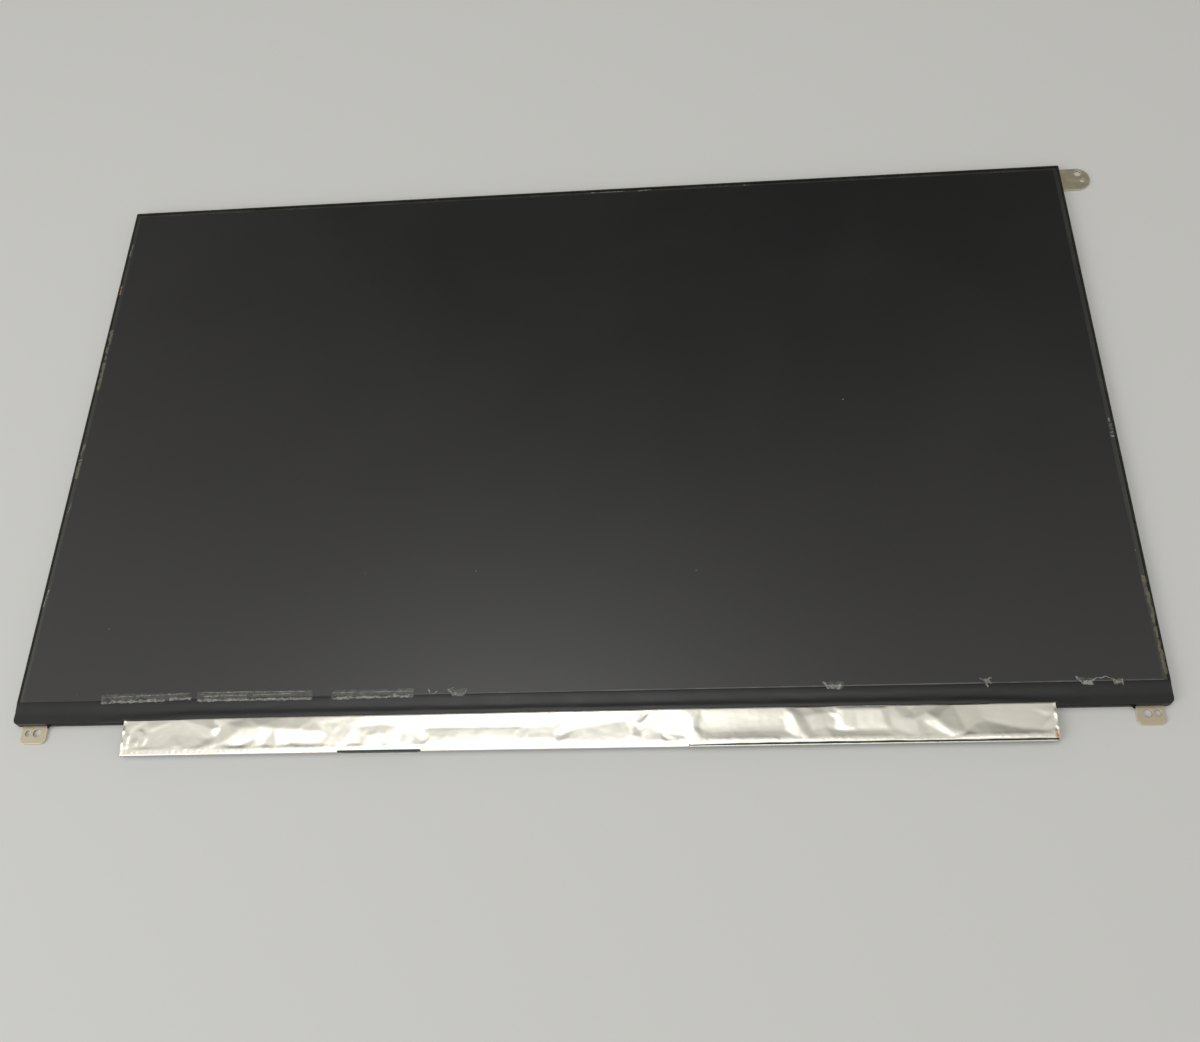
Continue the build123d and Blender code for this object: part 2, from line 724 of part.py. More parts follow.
# Shield foil: crumpled over the board, wrapped round most of its lower edge, notched at the connector
with BuildPart() as shield_foil:
    station_count = round((foil_right - foil_left) / foil_fold_pitch)
    station_step = (foil_right - foil_left) / station_count
    for station in range(station_count + 1):
        station_place = foil_left + station * station_step
        beside_pad = pad_left - station_step < station_place < pad_right + station_step
        with BuildSketch(Plane.YZ.offset(station_place)):
            foil_section(station, foil_pressed_height if beside_pad else foil_fold_height)
    loft(ruled=True)
    # The board's lower edge is bare at the connector's mouth and to the right of the wrap
    for bare_left, bare_right, bare_depth in (
        (notch_left, notch_right, foil_notch_depth),
        (foil_wrap_end, foil_right, foil_trim_depth),
    ):
        with BuildSketch(Plane.XY):
            rectangle_between(bare_left, bare_right, foil_bottom, board_bottom + bare_depth)
        extrude(amount=foil_face + foil_fold_height, mode=Mode.SUBTRACT)
        with BuildSketch(Plane.XY):
            rectangle_between(bare_left, bare_right, foil_bottom, foil_bottom + foil_lip_width)
        extrude(amount=board_back, mode=Mode.SUBTRACT)
    # A pressed pad beside the connector, where the foil lies flat
    with BuildSketch(Plane.XY.offset(film_face)):
        pad_line = (foil_top + foil_bottom) / 2
        pad_half = foil_pad_width / 2
        rectangle_between(pad_left, pad_right, pad_line - pad_half, pad_line + pad_half)
    extrude(amount=foil_thickness + foil_pad_height)
shield_foil.part.label = "shield_foil"
export_step(shield_foil.part, "parts/shield_foil.step")

# Video connector: housing with a mouth towards the board's lower edge
connector_front = board_bottom + connector_edge_setback
connector_back = connector_front + connector_depth
housing_half = connector_width / 2 - connector_shell_thickness
housing_base = board_back - connector_height + connector_shell_thickness
mouth_half = housing_half - connector_end_wall
contact_level = board_back - contact_clearance - contact_thickness
mouth_base = contact_level - contact_clearance - connector_mouth_height
with BuildPart() as connector_housing:
    with BuildSketch(Plane.XY.offset(housing_base)):
        housing_left = connector_centre - housing_half
        rectangle_between(housing_left, connector_centre + housing_half, connector_front, connector_back)
    extrude(amount=board_back - housing_base)
    with BuildSketch(Plane.XY.offset(mouth_base)):
        mouth_back = connector_front + connector_mouth_depth
        mouth_left = connector_centre - mouth_half
        rectangle_between(mouth_left, connector_centre + mouth_half, connector_front, mouth_back)
    extrude(amount=connector_mouth_height, mode=Mode.SUBTRACT)
    # Channels that the contacts lie in
    with BuildSketch(Plane.XY.offset(mouth_base + connector_mouth_height)):
        with Locations((connector_centre, (connector_front + connector_back) / 2)):
            with GridLocations(contact_pitch, 0, contact_count, 1):
                Rectangle(contact_width + 2 * contact_clearance, connector_depth)
    extrude(amount=board_back, mode=Mode.SUBTRACT)
connector_housing.part.label = "connector_housing"
export_step(connector_housing.part, "parts/connector_housing.step")

# Connector shell: a folded cover with a solder foot at each end
with BuildPart() as connector_shell:
    with BuildSketch(Plane.XZ.offset(-connector_back)):
        shell_left = connector_centre - connector_width / 2
        shell_right = connector_centre + connector_width / 2
        shell_base = board_back - connector_height
        rectangle_between(shell_left, shell_right, shell_base, housing_base)
        foot_base = board_back - connector_shell_thickness
        left_wall = shell_left + connector_shell_thickness
        right_wall = shell_right - connector_shell_thickness
        rectangle_between(shell_left, left_wall, shell_base, board_back)
        rectangle_between(right_wall, shell_right, shell_base, board_back)
        rectangle_between(shell_left - connector_shell_foot, left_wall, foot_base, board_back)
        rectangle_between(right_wall, shell_right + connector_shell_foot, foot_base, board_back)
    extrude(amount=connector_depth)
connector_shell.part.label = "connector_shell"
export_step(connector_shell.part, "parts/connector_shell.step")

# Connector contacts, with tails soldered behind the housing
with BuildPart() as connector_contacts:
    contact_front = connector_front + contact_setback
    contact_back = connector_back + contact_tail
    contact_middle = (contact_front + contact_back) / 2
    with Locations((connector_centre, contact_middle, contact_level + contact_thickness / 2)):
        with GridLocations(contact_pitch, 0, contact_count, 1):
            Box(contact_width, contact_back - contact_front, contact_thickness)
connector_contacts.part.label = "connector_contacts"
export_step(connector_contacts.part, "parts/connector_contacts.step")

# Chips on the back of the board
with BuildPart() as timing_controller:
    with BuildSketch(Plane.XY.offset(board_back)):
        with Locations((board_centre + timing_chip_place, component_line)):
            Rectangle(timing_chip_size, timing_chip_size)
    extrude(amount=-timing_chip_height)
    chamfer(timing_controller.edges().group_by(Axis.Z)[0], length=chip_edge_chamfer)
timing_controller.part.label = "timing_controller"
export_step(timing_controller.part, "parts/timing_controller.step")

with BuildPart() as power_chip:
    with BuildSketch(Plane.XY.offset(board_back)):
        with Locations((board_centre + power_chip_place, component_line)):
            Rectangle(power_chip_size, power_chip_size)
    extrude(amount=-power_chip_height)
    chamfer(power_chip.edges().group_by(Axis.Z)[0], length=chip_edge_chamfer)
power_chip.part.label = "power_chip"
export_step(power_chip.part, "parts/power_chip.step")

with BuildPart() as led_driver_chip:
    with BuildSketch(Plane.XY.offset(board_back)):
        with Locations((board_centre + led_driver_place, component_line)):
            Rectangle(led_driver_size, led_driver_size)
    extrude(amount=-led_driver_height)
    chamfer(led_driver_chip.edges().group_by(Axis.Z)[0], length=chip_edge_chamfer)
led_driver_chip.part.label = "led_driver_chip"
export_step(led_driver_chip.part, "parts/led_driver_chip.step")

with BuildPart() as memory_chip:
    with BuildSketch(Plane.XY.offset(board_back)):
        with Locations((board_centre + memory_chip_place, component_line)):
            Rectangle(memory_chip_length, memory_chip_width)
    extrude(amount=-memory_chip_height)
    chamfer(memory_chip.edges().group_by(Axis.Z)[0], length=chip_edge_chamfer)
memory_chip.part.label = "memory_chip"
export_step(memory_chip.part, "parts/memory_chip.step")

# Inductors, square cans with cut corners
with BuildPart() as inductors:
    with BuildSketch(Plane.XY.offset(board_back)) as cans:
        with Locations(*[(board_centre + place, component_line) for place in inductor_places]):
            Rectangle(inductor_size, inductor_size)
        chamfer(cans.vertices(), length=inductor_corner_chamfer)
    extrude(amount=-inductor_height)
inductors.part.label = "inductors"
export_step(inductors.part, "parts/inductors.step")

# Capacitors and resistors, in banks beside the chips that they serve
with BuildPart() as capacitors:
    capacitor_bank = (capacitor_column_count, capacitor_row_count)
    with BuildSketch(Plane.XY.offset(board_back)):
        with Locations(*[(board_centre + place, component_line) for place in capacitor_places]):
            with GridLocations(capacitor_pitch_x, capacitor_pitch_y, *capacitor_bank):
                Rectangle(capacitor_length, capacitor_width)
    extrude(amount=-capacitor_height)
    chamfer(capacitors.edges().group_by(Axis.Z)[0], length=capacitor_end_chamfer)
capacitors.part.label = "capacitors"
export_step(capacitors.part, "parts/capacitors.step")

with BuildPart() as resistors:
    resistor_bank = (resistor_column_count, resistor_row_count)
    with BuildSketch(Plane.XY.offset(board_back)):
        with Locations(*[(board_centre + place, component_line) for place in resistor_places]):
            with GridLocations(resistor_pitch_x, resistor_pitch_y, *resistor_bank):
                Rectangle(resistor_length, resistor_width)
    extrude(amount=-resistor_height)
resistors.part.label = "resistors"
export_step(resistors.part, "parts/resistors.step")
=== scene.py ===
import json
import math
import random

import bmesh
import bpy
import numpy as np
from mathutils import Matrix, Vector, geometry, noise


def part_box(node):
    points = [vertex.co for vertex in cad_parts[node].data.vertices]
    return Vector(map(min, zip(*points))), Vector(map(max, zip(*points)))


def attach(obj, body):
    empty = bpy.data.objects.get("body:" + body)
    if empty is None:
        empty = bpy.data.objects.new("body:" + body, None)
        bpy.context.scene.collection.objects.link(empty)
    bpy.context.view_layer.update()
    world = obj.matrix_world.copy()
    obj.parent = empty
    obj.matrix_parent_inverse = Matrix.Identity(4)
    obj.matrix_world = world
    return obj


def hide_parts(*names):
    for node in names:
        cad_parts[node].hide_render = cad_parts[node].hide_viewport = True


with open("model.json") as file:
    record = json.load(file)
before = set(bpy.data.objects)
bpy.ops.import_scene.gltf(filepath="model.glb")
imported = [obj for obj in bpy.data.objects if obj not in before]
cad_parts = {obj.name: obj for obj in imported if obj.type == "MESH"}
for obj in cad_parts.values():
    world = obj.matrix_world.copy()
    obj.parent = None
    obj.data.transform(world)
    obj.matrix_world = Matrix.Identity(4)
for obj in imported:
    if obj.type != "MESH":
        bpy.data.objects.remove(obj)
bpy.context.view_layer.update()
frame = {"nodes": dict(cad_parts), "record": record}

# Looks of a bare laptop display panel that lies on its back.
# Lengths are in millimetres in this script, and MM turns them into the frame's metres.
MM = 0.001
BODY = "root"


def node_box(name):
    """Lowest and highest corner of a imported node, in millimetres."""
    low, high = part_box(name)
    return low / MM, high / MM


def cad_mesh(name):
    """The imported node's own object."""
    return frame["nodes"][name]


# Main edges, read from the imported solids

PANEL_LOW = node_box("mould_frame")[0]
SCREEN_LOW, SCREEN_HIGH = node_box("front_polarizer")
GLASS_HIGH = node_box("colour_filter_glass")[1]
TAPE_LOW, TAPE_HIGH = node_box("cover_tape")
FOIL_LOW, FOIL_HIGH = node_box("shield_foil")
BOARD_LOW, BOARD_HIGH = node_box("control_board")
FILM_HIGH = node_box("driver_films")[1]
SHELL_LOW, SHELL_HIGH = node_box("connector_shell")


# Node trees


def add_node(tree, kind, **values):
    """A shader node with its sockets set by name; spaces in a socket's name are written as _."""
    made = tree.nodes.new(kind)
    for label, value in values.items():
        made.inputs[label.replace("_", " ")].default_value = value
    return made


def connect(tree, source, target):
    """Link one socket to another."""
    tree.links.new(source, target)


def position(tree):
    """Where a point lies on the object, in metres."""
    return tree.nodes.new("ShaderNodeTexCoord").outputs["Object"]


def stretched(tree, source, scale):
    """A position multiplied by three numbers."""
    mapping = add_node(tree, "ShaderNodeMapping", Scale=scale)
    connect(tree, source, mapping.inputs["Vector"])
    return mapping.outputs["Vector"]


def spread(tree, source, start, end, low=0.0, high=1.0):
    """A value taken from one range to another, and held at its ends."""
    ranged = add_node(tree, "ShaderNodeMapRange", From_Min=start, From_Max=end, To_Min=low, To_Max=high)
    connect(tree, source, ranged.inputs["Value"])
    return ranged.outputs["Result"]


def mixed(tree, mask, first, second):
    """One colour where the mask is 0, another where it is 1; each is a colour or a socket."""
    mix = tree.nodes.new("ShaderNodeMix")
    mix.data_type = "RGBA"
    connect(tree, mask, mix.inputs["Factor"])
    for label, colour in (("A", first), ("B", second)):
        socket = [s for s in mix.inputs if s.name == label and s.type == "RGBA"][0]
        if isinstance(colour, tuple):
            socket.default_value = (*colour, 1.0)
        else:
            connect(tree, colour, socket)
    return [s for s in mix.outputs if s.type == "RGBA"][0]


def reckoned(tree, operation, first, second):
    """One value from two, each a number or a socket, held between 0 and 1."""
    step = tree.nodes.new("ShaderNodeMath")
    step.operation = operation
    step.use_clamp = True
    for socket, value in zip(step.inputs, (first, second)):
        if isinstance(value, float):
            socket.default_value = value
        else:
            connect(tree, value, socket)
    return step.outputs["Value"]


def times(tree, first, second):
    """Two values multiplied, held between 0 and 1."""
    return reckoned(tree, "MULTIPLY", first, second)


def axes(tree):
    """The X, Y and Z outputs of a point's place on the object."""
    split = tree.nodes.new("ShaderNodeSeparateXYZ")
    connect(tree, position(tree), split.inputs["Vector"])
    return split.outputs


def past(tree, axis, start, end):
    """A mask that rises from 0 to 1 between two places along an axis, in millimetres."""
    return spread(tree, axes(tree)[axis], start * MM, end * MM)


def bumped(tree, shader, height, depth):
    """Feed a height to the shader's normal; depth is the bump's distance in millimetres."""
    bump = add_node(tree, "ShaderNodeBump", Strength=1.0, Distance=depth * MM)
    connect(tree, height, bump.inputs["Height"])
    connect(tree, bump.outputs["Normal"], shader.inputs["Normal"])


def effect_group(name, inputs, output):
    """An empty node group with float inputs and one float output."""
    tree = bpy.data.node_groups.new(name, "ShaderNodeTree")
    for label, value in inputs.items():
        socket = tree.interface.new_socket(label, in_out="INPUT", socket_type="NodeSocketFloat")
        socket.default_value = value
    tree.interface.new_socket(output, in_out="OUTPUT", socket_type="NodeSocketFloat")
    return tree, tree.nodes.new("NodeGroupInput"), tree.nodes.new("NodeGroupOutput")


def effect(tree, group, **values):
    """Place an effect group in a material, with its own values, and return its output."""
    placed = tree.nodes.new("ShaderNodeGroup")
    placed.node_tree = group
    for label, value in values.items():
        placed.inputs[label.replace("_", " ")].default_value = value
    return placed.outputs[0]


# Effects that several finishes share

# Rolling lines are drawn out along the panel by these scales
ROLLED_STRETCH = (1.0, 55.0, 55.0)
# Share of the dust's cells that hold no speck
EMPTY_CELLS = 0.8


def noise_field(tree, entry, place, **values):
    """Noise at a place, as fine as the group's Per Metre input says."""
    field = add_node(tree, "ShaderNodeTexNoise", **values)
    connect(tree, place, field.inputs["Vector"])
    connect(tree, entry.outputs["Per Metre"], field.inputs["Scale"])
    return field.outputs["Fac"]


def fine_grain_group():
    """Even fine relief, as on moulded plastic or anti-glare film."""
    tree, entry, leave = effect_group("fine_grain", {"Per Metre": 4000.0}, "Height")
    grain = noise_field(tree, entry, position(tree), Detail=3.0, Roughness=0.6)
    connect(tree, grain, leave.inputs["Height"])
    return tree


def handling_group():
    """Faint smears from handling: a value that wanders between two ends."""
    inputs = {"Per Metre": 40.0, "Low": 0.3, "High": 0.4}
    tree, entry, leave = effect_group("handling_smears", inputs, "Value")
    smear = noise_field(tree, entry, position(tree), Detail=5.0, Roughness=0.55, Distortion=0.8)
    ranged = add_node(tree, "ShaderNodeMapRange", From_Min=0.3, From_Max=0.7)
    connect(tree, smear, ranged.inputs["Value"])
    connect(tree, entry.outputs["Low"], ranged.inputs["To Min"])
    connect(tree, entry.outputs["High"], ranged.inputs["To Max"])
    connect(tree, ranged.outputs["Result"], leave.inputs["Value"])
    return tree


def rolled_group():
    """Long fine lines along the sheet, as a rolling mill leaves them."""
    tree, entry, leave = effect_group("rolled_lines", {"Per Metre": 60.0}, "Lines")
    drawn_out = stretched(tree, position(tree), ROLLED_STRETCH)
    rolled = noise_field(tree, entry, drawn_out, Detail=4.0, Roughness=0.65)
    connect(tree, rolled, leave.inputs["Lines"])
    return tree


def dust_group():
    """Sparse pale specks: 1 on a speck and 0 beside it."""
    inputs = {"Per Metre": 400.0, "Share": 0.1}
    tree, entry, leave = effect_group("dust_specks", inputs, "Mask")
    cells = add_node(tree, "ShaderNodeTexVoronoi")
    connect(tree, position(tree), cells.inputs["Vector"])
    connect(tree, entry.outputs["Per Metre"], cells.inputs["Scale"])
    near = reckoned(tree, "LESS_THAN", cells.outputs["Distance"], entry.outputs["Share"])
    drawn = tree.nodes.new("ShaderNodeSeparateColor")
    connect(tree, cells.outputs["Color"], drawn.inputs["Color"])
    chosen = reckoned(tree, "GREATER_THAN", drawn.outputs["Red"], EMPTY_CELLS)
    connect(tree, times(tree, near, chosen), leave.inputs["Mask"])
    return tree


GRAIN = fine_grain_group()
HANDLING = handling_group()
ROLLED = rolled_group()
DUST = dust_group()


# Materials

# Stretch of the rolling lines' value over which the tone changes
LINE_SPAN = (0.3, 0.7)
# How far below the glass's upper edge its dark ground strip starts and is full
GROUND_EDGE = (0.42, 0.3)
# Painted shade on the foil: its sides are painted dark bluish grey from this far below the board's face, and
# keep the foil's own tone from this far over it
FOIL_SHADE_BELOW = 0.12
FOIL_UNSHADED_ABOVE = 0.03
# How far down from its upper edge the foil turns brown in patches
FOIL_BROWN_EDGE = 0.35
# Copper stain at the foil's lower right corner: its place inward and upward from there, how much longer
# than wide it is, and its outer and inner reach
STAIN_PLACE = (0.75, 1.5)
STAIN_LENGTH = 3
STAIN_REACH = (0.75, 0.2)
# How far behind the front of each LED its yellow window starts and is full
LED_WINDOW = (0.25, 0.15)
# Places along the panel between which the film's rim takes its painted highlight, a pale colour for light
# that catches its cut edge
RIM_HIGHLIGHT_SPAN = (-75.0, -20.0)


def new_finish(name, colour, roughness, metallic=0.0):
    """A material with its Principled shader set to plain values, ready for detail."""
    material = bpy.data.materials.new(name)
    material.use_nodes = True
    tree = material.node_tree
    shader = tree.nodes["Principled BSDF"]
    shader.inputs["Base Color"].default_value = (*colour, 1.0)
    shader.inputs["Roughness"].default_value = roughness
    shader.inputs["Metallic"].default_value = metallic
    return material, tree, shader


def smeared(tree, shader, per_metre, low, high):
    """Let the gloss wander between two roughnesses, as handling leaves it."""
    value = effect(tree, HANDLING, Per_Metre=per_metre, Low=low, High=high)
    connect(tree, value, shader.inputs["Roughness"])


def grained(tree, shader, per_metre, depth):
    """Give the shader an even fine relief; depth is in millimetres."""
    bumped(tree, shader, effect(tree, GRAIN, Per_Metre=per_metre), depth)


def coloured(tree, shader, mask, first, second):
    """Colour the shader between two tones by a mask."""
    connect(tree, mixed(tree, mask, first, second), shader.inputs["Base Color"])


def screen_film():
    """Anti-glare polarizer: nearly black, with a satin sheen and a few specks of dust."""
    film = (0.0046, 0.0044, 0.005)
    material, tree, shader = new_finish("screen_film", film, 0.38)
    shader.inputs["IOR"].default_value = 1.78
    specks = effect(tree, DUST, Per_Metre=90.0, Share=0.012)
    coloured(tree, shader, specks, film, (0.16, 0.16, 0.15))
    smeared(tree, shader, per_metre=14.0, low=0.28, high=0.33)
    grained(tree, shader, per_metre=6000.0, depth=0.004)
    return material


def cell_glass():
    """Display glass over its black border, faintly green, with a dark ground strip along its top."""
    glass = (0.031, 0.032, 0.027)
    material, tree, shader = new_finish("cell_glass", glass, 0.1)
    shader.inputs["IOR"].default_value = 1.7
    start, full = GROUND_EDGE
    ground = past(tree, "Y", GLASS_HIGH.y - start, GLASS_HIGH.y - full)
    coloured(tree, shader, ground, glass, (0.006, 0.0065, 0.0045))
    smeared(tree, shader, per_metre=120.0, low=0.14, high=0.34)
    return material


def black_plastic():
    """Moulded black frame, with fine relief and paler rubbed spots."""
    black = (0.012, 0.012, 0.009)
    material, tree, shader = new_finish("black_plastic", black, 0.45)
    shader.inputs["Specular IOR Level"].default_value = 0.3
    rubbed = spread(tree, effect(tree, HANDLING, Per_Metre=260.0, Low=-0.6, High=0.7), 0.2, 0.7)
    coloured(tree, shader, rubbed, black, (0.03, 0.03, 0.028))
    smeared(tree, shader, per_metre=90.0, low=0.48, high=0.64)
    grained(tree, shader, per_metre=5000.0, depth=0.008)
    return material


def black_tape():
    """Thin black film tape with a soft gloss."""
    black = (0.0085, 0.0085, 0.0095)
    material, tree, shader = new_finish("black_tape", black, 0.3)
    shader.inputs["IOR"].default_value = 1.5
    specks = effect(tree, DUST, Per_Metre=500.0, Share=0.05)
    coloured(tree, shader, specks, black, (0.05, 0.05, 0.05))
    smeared(tree, shader, per_metre=70.0, low=0.25, high=0.36)
    grained(tree, shader, per_metre=1500.0, depth=0.004)
    return material


def shaded_tape_lip():
    """The same tape where it is pulled round the frame: rough, with painted shade in a darker colour and a
    weaker reflection.
    """
    # Painted shade: the darker colour and the lowered reflection stand in for the shade that the lip lies in
    material, tree, shader = new_finish("shaded_tape_lip", (0.005, 0.005, 0.005), 0.6)
    shader.inputs["Specular IOR Level"].default_value = 0.15
    smeared(tree, shader, per_metre=400.0, low=0.55, high=0.75)
    grained(tree, shader, per_metre=2500.0, depth=0.01)
    return material


def plate_metal():
    """Rolled aluminium tray, its lines running along the panel."""
    material, tree, shader = new_finish("plate_metal", (0.6, 0.6, 0.61), 0.36, 1.0)
    rolled = effect(tree, ROLLED, Per_Metre=40.0)
    coloured(tree, shader, spread(tree, rolled, *LINE_SPAN), (0.52, 0.52, 0.53), (0.66, 0.66, 0.67))
    smeared(tree, shader, per_metre=35.0, low=0.3, high=0.44)
    bumped(tree, shader, rolled, depth=0.01)
    return material


def bracket_steel(name, low, high):
    """Nickel-toned stamped steel with faint rolling lines, between two tones."""
    material, tree, shader = new_finish(name, high, 0.34, 1.0)
    rolled = effect(tree, ROLLED, Per_Metre=150.0)
    coloured(tree, shader, spread(tree, rolled, *LINE_SPAN), low, high)
    smeared(tree, shader, per_metre=300.0, low=0.4, high=0.54)
    bumped(tree, shader, rolled, depth=0.006)
    return material


def shield_foil():
    """Aluminium foil tape: a soft mirror with rolling lines, brown in patches along its upper edge, stained
    at one corner, and painted a shaded bluish grey below the board's face.
    """
    material, tree, shader = new_finish("shield_foil", (0.92, 0.9, 0.81), 0.24, 1.0)
    rolled = effect(tree, ROLLED, Per_Metre=220.0)
    foil = mixed(tree, spread(tree, rolled, *LINE_SPAN), (0.9, 0.88, 0.785), (0.94, 0.925, 0.845))
    # Painted shade: below the board's face the foil's sides are painted dark bluish grey, standing in for the
    # shade they lie in
    upper = past(tree, "Z", BOARD_HIGH.z - FOIL_SHADE_BELOW, BOARD_HIGH.z + FOIL_UNSHADED_ABOVE)
    foil = mixed(tree, upper, (0.42, 0.44, 0.48), foil)
    # Brown in patches along the upper edge
    edge = past(tree, "Y", FOIL_HIGH.y - FOIL_BROWN_EDGE, FOIL_HIGH.y)
    patchy = effect(tree, HANDLING, Per_Metre=110.0, Low=-0.9, High=0.9)
    foil = mixed(tree, times(tree, edge, patchy), foil, (0.4, 0.29, 0.16))
    inward, upward = STAIN_PLACE
    middle = (FOIL_HIGH.x - inward, (FOIL_LOW.y + upward) / STAIN_LENGTH, FOIL_HIGH.z)
    stain = tree.nodes.new("ShaderNodeVectorMath")
    stain.operation = "DISTANCE"
    stain.inputs[1].default_value = [part * MM for part in middle]
    shortened = stretched(tree, position(tree), (1.0, 1 / STAIN_LENGTH, 1.0))
    connect(tree, shortened, stain.inputs[0])
    outer, inner = STAIN_REACH
    stained = spread(tree, stain.outputs["Value"], outer * MM, inner * MM)
    coloured(tree, shader, stained, foil, (0.5, 0.3, 0.16))
    smeared(tree, shader, per_metre=160.0, low=0.18, high=0.26)
    bumped(tree, shader, rolled, depth=0.005)
    return material


def board_green():
    """Solder mask over copper tracks that run along the board."""
    material, tree, shader = new_finish("board_green", (0.005, 0.019, 0.011), 0.34)
    tracks = add_node(
        tree, "ShaderNodeTexBrick", Scale=300.0, Mortar_Size=0.06, Brick_Width=4.0, Row_Height=0.2)
    tracks.offset_frequency = 3
    connect(tree, position(tree), tracks.inputs["Vector"])
    coloured(tree, shader, tracks.outputs["Fac"], (0.004, 0.016, 0.009), (0.01, 0.036, 0.02))
    smeared(tree, shader, per_metre=200.0, low=0.28, high=0.42)
    bumped(tree, shader, tracks.outputs["Fac"], depth=0.012)
    return material


def chip_black(name="chip_black", colour=(0.016, 0.016, 0.017)):
    """Moulded chip package with a fine sanded face."""
    material, tree, shader = new_finish(name, colour, 0.5)
    smeared(tree, shader, per_metre=500.0, low=0.42, high=0.58)
    grained(tree, shader, per_metre=9000.0, depth=0.006)
    return material


def pale_sheet(name, colour, low, high):
    """White or clear optical sheet, with a faint cloud in its gloss."""
    material, tree, shader = new_finish(name, colour, low)
    smeared(tree, shader, per_metre=30.0, low=low, high=high)
    grained(tree, shader, per_metre=3000.0, depth=0.002)
    return material


def amber_flex():
    """Amber polyimide over copper lines."""
    material, tree, shader = new_finish("amber_flex", (0.4, 0.18, 0.04), 0.35)
    copper = add_node(tree, "ShaderNodeTexWave", Scale=500.0, Distortion=0.0)
    copper.bands_direction = "Y"
    connect(tree, position(tree), copper.inputs["Vector"])
    stripes = spread(tree, copper.outputs["Fac"], 0.4, 0.6)
    coloured(tree, shader, stripes, (0.34, 0.14, 0.03), (0.5, 0.25, 0.08))
    smeared(tree, shader, per_metre=150.0, low=0.28, high=0.4)
    return material


def led_white():
    """White LED package with a yellow phosphor window."""
    white = (0.8, 0.8, 0.78)
    material, tree, shader = new_finish("led_white", white, 0.4)
    front = node_box("leds")[1].y
    start, full = LED_WINDOW
    coloured(tree, shader, past(tree, "Y", front - start, front - full), white, (0.8, 0.62, 0.12))
    return material


def bright_metal(name, colour, low, high):
    """Plated or tinned metal with a slightly uneven gloss."""
    material, tree, shader = new_finish(name, colour, low, 1.0)
    smeared(tree, shader, per_metre=700.0, low=low, high=high)
    grained(tree, shader, per_metre=4000.0, depth=0.003)
    return material


def ceramic(name, colour):
    """Fired chip body."""
    material, tree, shader = new_finish(name, colour, 0.4)
    smeared(tree, shader, per_metre=900.0, low=0.3, high=0.5)
    grained(tree, shader, per_metre=12000.0, depth=0.004)
    return material


def glue_residue(name, colour, thin, thick):
    """Remains of glue, cloudy and partly see-through between two shares."""
    material, tree, shader = new_finish(name, colour, 0.6)
    connect(tree, effect(tree, HANDLING, Per_Metre=900.0, Low=thin, High=thick), shader.inputs["Alpha"])
    grained(tree, shader, per_metre=5000.0, depth=0.02)
    return material


def painted_rim_highlight():
    """Cut rim of the film, with a painted highlight: pale in patches where light would catch it, and as dark
    as the film further left.
    """
    rim = (0.105, 0.107, 0.118)
    material, tree, shader = new_finish("film_painted_rim_highlight", rim, 0.4)
    # Painted highlight: pale in patches right of the span, dark left of it
    highlit = past(tree, "X", *RIM_HIGHLIGHT_SPAN)
    highlight_patches = spread(tree, effect(tree, HANDLING, Per_Metre=60.0, Low=0.2, High=1.1), 0.0, 1.0)
    coloured(tree, shader, times(tree, highlit, highlight_patches), (0.006, 0.006, 0.006), rim)
    return material


FINISH = {
    "screen_film": screen_film(),
    "clear_film": pale_sheet("clear_film", (0.62, 0.63, 0.64), 0.2, 0.3),
    "cell_glass": cell_glass(),
    "black_plastic": black_plastic(),
    "black_tape": black_tape(),
    "plate_metal": plate_metal(),
    "bracket_steel": bracket_steel("bracket_steel", (0.58, 0.515, 0.39), (0.67, 0.6, 0.455)),
    "shield_foil": shield_foil(),
    "board_green": board_green(),
    "chip_black": chip_black(),
    "white_film": pale_sheet("white_film", (0.85, 0.85, 0.84), 0.5, 0.6),
    "clear_acrylic": pale_sheet("clear_acrylic", (0.78, 0.81, 0.81), 0.06, 0.14),
    "amber_flex": amber_flex(),
    "led_white": led_white(),
    "contact_gold": bright_metal("contact_gold", (0.83, 0.6, 0.25), 0.2, 0.3),
    "shell_steel": bright_metal("shell_steel", (0.62, 0.62, 0.61), 0.24, 0.36),
    "capacitor_tan": ceramic("capacitor_tan", (0.33, 0.23, 0.14)),
    "resistor_black": ceramic("resistor_black", (0.02, 0.02, 0.022)),
    "inductor_grey": chip_black("inductor_grey", (0.05, 0.05, 0.055)),
}
GLUE = glue_residue("glue_threads", (0.42, 0.42, 0.39), 0.12, 0.75)
FILM = glue_residue("glue_film", (0.42, 0.42, 0.39), 0.0, 0.24)
AGED_GLUE = glue_residue("aged_glue", (0.36, 0.33, 0.22), 0.12, 0.42)
# The tape's lip over the frame, with painted shade
TAPE_LIP_SHADE = shaded_tape_lip()
# Hole walls: darker partly as rough punched steel, partly as painted shade for the little light that reaches
# into the holes
PUNCHED_AND_SHADED = bracket_steel("punched_wall_and_shade", (0.16, 0.14, 0.1), (0.3, 0.27, 0.2))
# The film's cut rim, with a painted highlight
PAINTED_RIM_HIGHLIGHT = painted_rim_highlight()
COPPER = bright_metal("copper_flake", (0.62, 0.34, 0.16), 0.3, 0.45)
TIN = bright_metal("tinned_end", (0.72, 0.71, 0.68), 0.25, 0.38)


def dress_packed_nodes():
    """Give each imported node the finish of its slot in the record."""
    for row in frame["record"]["subparts"]:
        mesh = cad_mesh(row["node"]).data
        mesh.materials.clear()
        mesh.materials.append(FINISH[row["material_slot"]])


# Meshes


